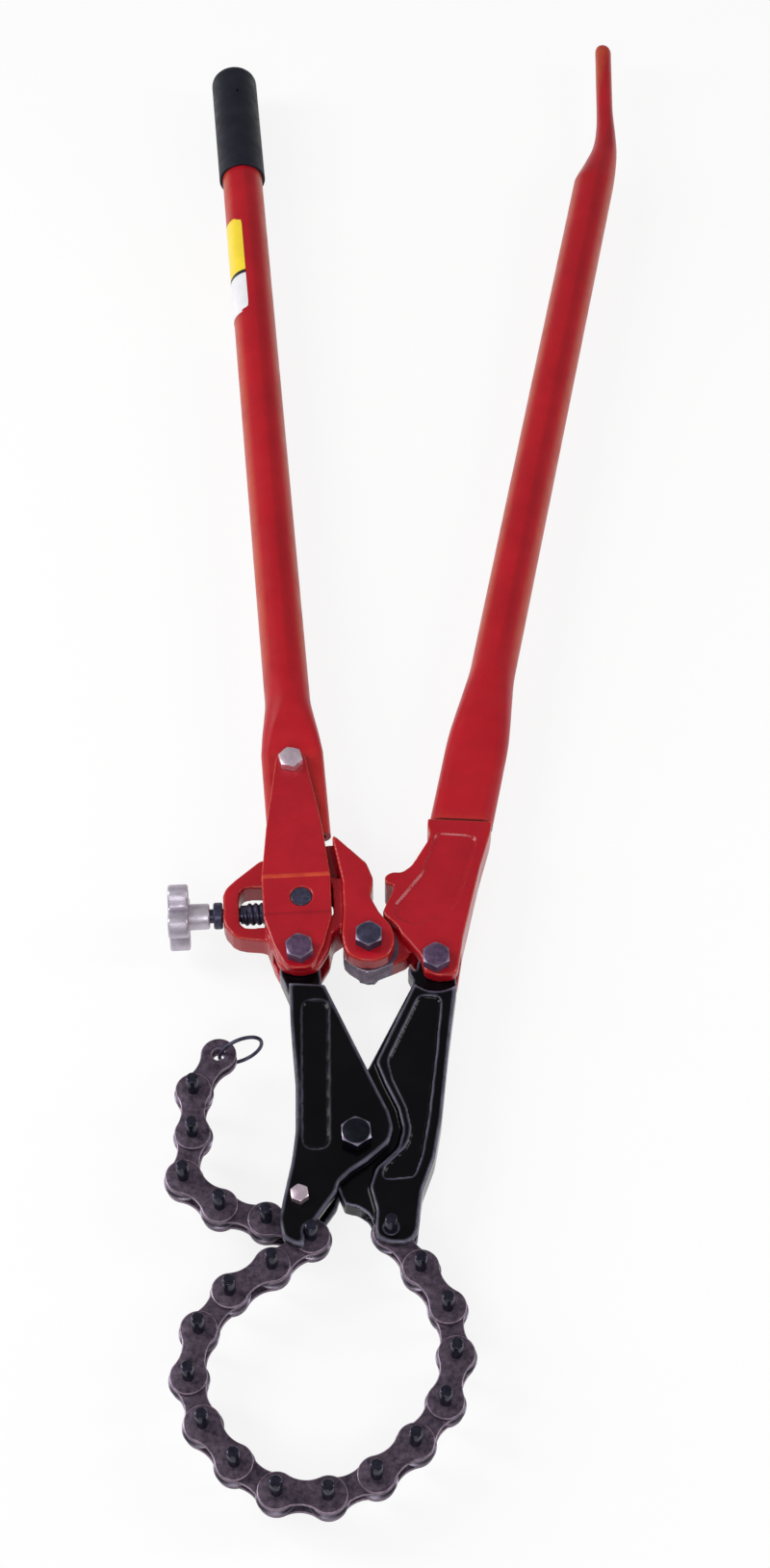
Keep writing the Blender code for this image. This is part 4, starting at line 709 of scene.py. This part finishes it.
def figure_eight(start, end, low, high, end_radius, waist, holes):
    """One link plate between two pins: an outline of turned arcs, holes if any, and softened rims."""
    bm = bmesh.new()
    half = PITCH / 2
    lift = (half ** 2 - (end_radius - waist) ** 2) / (2 * (end_radius - waist))
    hollow = lift - waist
    spread = atan2(lift, half)
    for mirror in (1, -1):
        dot = bm.verts.new((half * MM, mirror * waist * MM, 0))
        bmesh.ops.spin(bm, geom=[dot], cent=(half * MM, mirror * lift * MM, 0), axis=(0, 0, 1),
                       angle=mirror * (pi / 2 - spread), steps=8)
        dot = bm.verts.new((half * MM, mirror * waist * MM, 0))
        bmesh.ops.spin(bm, geom=[dot], cent=(half * MM, mirror * lift * MM, 0), axis=(0, 0, 1),
                       angle=-mirror * (pi / 2 - spread), steps=8)
    for centre, way in ((0.0, 1), (PITCH, -1)):
        dot = bm.verts.new((centre * MM + way * end_radius * cos(spread) * MM, end_radius * sin(spread) * MM, 0))
        bmesh.ops.spin(bm, geom=[dot], cent=(centre * MM, 0, 0), axis=(0, 0, 1),
                       angle=way * (2 * pi - 2 * spread), steps=32)
    bmesh.ops.remove_doubles(bm, verts=bm.verts, dist=2e-5)
    for centre in holes:
        bmesh.ops.create_circle(bm, segments=32, radius=(PIN_RADIUS + 0.3) * MM,
                                matrix=Matrix.Translation((centre * MM, 0, 0)))
    bmesh.ops.triangle_fill(bm, use_beauty=True, edges=list(bm.edges), normal=(0, 0, 1))
    bmesh.ops.recalc_face_normals(bm, faces=bm.faces)
    bm = raised(bm, low, high, 0.7, 2)
    heading = atan2(end.y - start.y, end.x - start.x)
    bmesh.ops.rotate(bm, verts=bm.verts, cent=(0, 0, 0), matrix=Matrix.Rotation(heading, 3, "Z"))
    return shifted(bm, start.x, start.y, MIDDLE)


def pin_shape(at):
    """A long riveted pin with a turned, slightly crowned head at both ends."""
    half = [(4.0, 24.1), (3.75, 24.6), (3.3, 24.85), (2.4, 24.93), (0, 25.0)]
    profile = [(0, -25.0)] + [(r, -z) for r, z in half[-2::-1]] + half
    return shifted(spun(profile, 40), at.x, at.y, MIDDLE)


def wheel_shape(at, bore):
    """A hardened disc wheel: a flat hub, hollow ground faces and a sharp rim."""
    side = [(bore, 2.5), (8.6, 2.5), (9.0, 2.35), (10.4, 1.45), (11.9, 0.75), (13.0, 0.22), (13.2, 0.0)]
    profile = side + [(r, -z) for r, z in side[-2::-1]]
    return shifted(spun(profile, 64, closed=True), at.x, at.y, MIDDLE)


def make_chain():
    for index in range(1, 22):
        start, end = PINS[index - 1], PINS[index]
        name, body = f"chain_link_{index:02d}", f"chain_link_{index:02d}_body"
        outer = index % 2 == 0
        low, high = (5.6, 8.1) if outer else (2.8, 5.3)
        radius, waist = (12.0, 7.8)
        holes = () if outer else (0.0, PITCH)
        shapes = [figure_eight(start, end, low, high, radius, waist, holes),
                  figure_eight(start, end, -high, -low, radius, waist, holes)]
        marks = [0, 0]
        if outer:
            shapes += [pin_shape(start), pin_shape(end)]
            marks += [1, 1]
        else:
            ends = [start] if index == 21 else [start, end]
            for at in ends:
                shapes.append(shifted(spun([(4.3, -3.3), (5.6, -3.3), (5.6, 3.3), (4.3, 3.3)], 32, closed=True),
                                      at.x, at.y, MIDDLE))
                marks.append(1)
                number = PINS.index(at) + 1
                if not 2 <= number <= 15:
                    shapes.append(wheel_shape(at, 4.6))
                    marks.append(2)
        link = placed(gathered(*shapes, marks=marks), [PLATE_STEEL, PIN_STEEL, WHEEL_STEEL], name + "_plates", body,
                      "chain_steel", name, smooth_under=40)
        rims_rubbed_and_highlit(link, PLATE_RIM)
    for number in range(2, 16):
        name = f"cutting_wheel_{number - 1:02d}"
        placed(wheel_shape(PINS[number - 1], 5.9), WHEEL_STEEL, name + "_disc", name + "_body", "chain_steel", name)
    anchor = pin_shape(PINS[0])
    placed(anchor, PIN_STEEL, "anchor_pin_turned", "right_jaw_body", "dark_steel", "anchor_pin")


def make_ring():
    at = PINS[-1]
    low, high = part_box("pull_ring")
    radius = (high.z - low.z) / MM / 2 - 1.5
    centre = (low + high) / 2 / MM
    heading = atan2(centre.y - at.y, centre.x - at.x)
    bm = bmesh.new()
    section = bmesh.ops.create_circle(bm, segments=16, radius=1.3 * MM,
                                      matrix=Matrix.Translation((radius * MM, 0, 0)) @ Matrix.Rotation(pi / 2, 4, "X"))
    bmesh.ops.spin(bm, geom=section["verts"] + list(bm.edges), cent=(0, 0, 0), axis=(0, 0, 1), angle=2 * pi,
                   steps=72, use_merge=True)
    bmesh.ops.remove_doubles(bm, verts=bm.verts, dist=1e-6)
    bmesh.ops.recalc_face_normals(bm, faces=bm.faces)
    place = Matrix.Translation(Vector((centre.x, centre.y, MIDDLE)) * MM)
    bmesh.ops.transform(bm, matrix=place @ Matrix.Rotation(heading, 4, "Z") @ Matrix.Rotation(pi / 2, 4, "X"),
                        verts=bm.verts)
    placed(bm, FASTENER, "pull_ring_wire", "pull_ring_body", "chain_steel", "pull_ring")


# The adjuster.

def make_adjuster():
    thread = bmesh.new()
    ridge = [(6.6, -1.9), (7.9, -0.5), (7.9, 0.5), (6.6, 1.9), (5.6, 1.9), (5.6, -1.9)]
    dots = [thread.verts.new((r * MM, 0, (z - 15.0) * MM)) for r, z in ridge]
    lines = [thread.edges.new((dots[i], dots[(i + 1) % len(dots)])) for i in range(len(dots))]
    turns, steps = 13, 32
    bmesh.ops.spin(thread, geom=dots + lines, cent=(0, 0, 0), axis=(0, 0, 1), angle=2 * pi * turns,
                   steps=steps * turns, dvec=(0, 0, 4.2 * MM / steps))
    bmesh.ops.remove_doubles(thread, verts=thread.verts, dist=1e-7)
    ends = [edge for edge in thread.edges if edge.is_boundary]
    bmesh.ops.contextual_create(thread, geom=ends)
    bmesh.ops.holes_fill(thread, edges=[edge for edge in thread.edges if edge.is_boundary], sides=8)
    bmesh.ops.recalc_face_normals(thread, faces=thread.faces)
    node_low, node_high = screw_reach("adjusting_screw")
    core = spun([(0, node_low), (5.9, node_low), (6.6, node_low + 0.8), (6.6, 42.4), (5.0, 43.0), (5.0, 55.2),
                 (8.6, 55.2), (9.4, 56.2), (9.4, 60.4), (8.6, 61.4), (5.0, 61.4), (5.0, node_high),
                 (0, node_high)], 48)
    screw = gathered(thread, core)
    pointed(screw, TRUNNION, SCREW_AXIS)
    placed(screw, FASTENER, "adjusting_screw_thread", "adjuster", "dark_steel", "adjusting_screw")


def screw_reach(node):
    """How far a node reaches along the screw from the trunnion, least and most."""
    along = [(Vector(v.co) / MM - TRUNNION).dot(SCREW_AXIS) for v in nodes[node].data.vertices]
    return min(along), max(along)


def make_knob():
    low, high = screw_reach("star_knob")
    disc = bmesh.new()
    ring = bmesh.ops.create_circle(disc, segments=120, radius=1.0, cap_ends=True)["verts"]
    for dot in ring:
        angle = atan2(dot.co.y, dot.co.x)
        lobe = 0.5 + 0.5 * cos(4 * (angle - radians(45)))
        radius = 14.2 + 9.3 * (1 - (1 - lobe) ** 2.2) ** 1.25
        dot.co = Vector((cos(angle), sin(angle), 0)) * radius * MM
    raised(disc, high - 14.0, high, 1.6, 4)
    hub = spun([(0, low), (8.2, low), (9.0, low + 0.9), (9.2, high - 14.0), (9.6, high - 12.0), (0, high - 12.0)], 56)
    boss = spun([(0, high - 2.0), (7.6, high - 2.0), (7.4, high - 0.1), (6.9, high), (0, high)], 48)
    knob = gathered(disc, hub, boss)
    pointed(knob, TRUNNION, SCREW_AXIS)
    placed(knob, CAST_ZINC, "star_knob_cast", "adjuster", "zinc_plate", "star_knob")


def make_trunnion():
    low, high = (corner.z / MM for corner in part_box("trunnion"))
    profile = [(0, low), (6.6, low), (7.3, low + 0.7), (7.3, MIDDLE - 15.2), (12.5, MIDDLE - 15.0),
               (12.5, MIDDLE + 15.0), (7.3, MIDDLE + 15.2), (7.3, high - 0.7), (6.6, high), (0, high)]
    bm = spun(profile, 56)
    shifted(bm, TRUNNION.x, TRUNNION.y)
    bore = pointed(spun([(0, -40), (8.9, -40), (8.9, 40), (0, 40)], 40), TRUNNION, SCREW_AXIS)
    bm = worked(bm, ("BOOLEAN", {"operation": "DIFFERENCE", "solver": "EXACT", "object": bore}))
    placed(bm, FASTENER, "trunnion_turned", "trunnion_body", "dark_steel", "trunnion")


# The stage.

def make_stage():
    bm = bmesh.new()
    bmesh.ops.create_grid(bm, x_segments=1, y_segments=1, size=12.0)
    mesh = bpy.data.meshes.new("floor")
    bm.to_mesh(mesh)
    bm.free()
    floor = bpy.data.objects.new("floor", mesh)
    bpy.context.scene.collection.objects.link(floor)
    floor.location = (0, 0, -0.0005)
    finish, tree, shader = blank("pale_floor")
    shader.inputs["Base Color"].default_value = (0.93, 0.93, 0.93, 1)
    shader.inputs["Roughness"].default_value = 0.9
    shader.inputs["Specular IOR Level"].default_value = 0.0
    white = tree.nodes.new("ShaderNodeEmission")
    white.inputs["Strength"].default_value = 1.0
    path = tree.nodes.new("ShaderNodeLightPath")
    straight = tree.nodes.new("ShaderNodeMath")
    straight.operation = "MAXIMUM"
    tree.links.new(path.outputs["Is Camera Ray"], straight.inputs[0])
    tree.links.new(path.outputs["Is Glossy Ray"], straight.inputs[1])
    seen = tree.nodes.new("ShaderNodeMath")
    seen.operation = "MAXIMUM"
    tree.links.new(straight.outputs[0], seen.inputs[0])
    tree.links.new(path.outputs["Is Transmission Ray"], seen.inputs[1])
    share = tree.nodes.new("ShaderNodeMath")
    share.operation = "MULTIPLY"
    tree.links.new(seen.outputs[0], share.inputs[0])
    share.inputs[1].default_value = 0.84
    mixed = tree.nodes.new("ShaderNodeMixShader")
    tree.links.new(share.outputs[0], mixed.inputs["Fac"])
    tree.links.new(shader.outputs["BSDF"], mixed.inputs[1])
    tree.links.new(white.outputs["Emission"], mixed.inputs[2])
    tree.links.new(mixed.outputs["Shader"], tree.nodes["Material Output"].inputs["Surface"])
    mesh.materials.append(finish)


def make_lights():
    world = bpy.data.worlds.new("studio")
    bpy.context.scene.world = world
    world.use_nodes = True
    background = world.node_tree.nodes["Background"]
    background.inputs["Color"].default_value = (1, 1, 1, 1)
    background.inputs["Strength"].default_value = 0.30
    for name, at, aim, wide, tall, power in (
            ("left_softbox", (-1.75, 0.45, 1.25), (0.0, 0.25, 0.0), 0.7, 1.9, 34.0),
            ("right_softbox", (1.9, 0.3, 1.15), (0.0, 0.25, 0.0), 0.5, 1.9, 18.0),
            ("near_softbox", (-0.2, -1.9, 2.1), (0.0, 0.2, 0.0), 1.3, 0.7, 24.0)):
        lamp = bpy.data.lights.new(name, "AREA")
        lamp.shape = "RECTANGLE"
        lamp.size, lamp.size_y = wide, tall
        lamp.energy = power
        holder = bpy.data.objects.new(name, lamp)
        bpy.context.scene.collection.objects.link(holder)
        holder.location = at
        holder.rotation_euler = (Vector(aim) - Vector(at)).to_track_quat("-Z", "Y").to_euler()


def make_camera():
    lens = bpy.data.cameras.new("photo_camera")
    lens.sensor_fit = "VERTICAL"
    lens.sensor_height = 36.0
    lens.lens = 60.457
    lens.clip_start = 0.05
    lens.clip_end = 50.0
    camera = bpy.data.objects.new("photo_camera", lens)
    bpy.context.scene.collection.objects.link(camera)
    camera.location = (0.0591, -0.7685, 1.6055)
    camera.rotation_euler = (radians(33.97), 0.0, radians(3.0))
    bpy.context.scene.camera = camera
    bpy.context.scene.view_settings.view_transform = "Standard"


make_camera()
make_castings()
make_handles()
make_label()
make_fasteners()
make_chain()
make_ring()
make_adjuster()
make_knob()
make_trunnion()
make_stage()
make_lights()
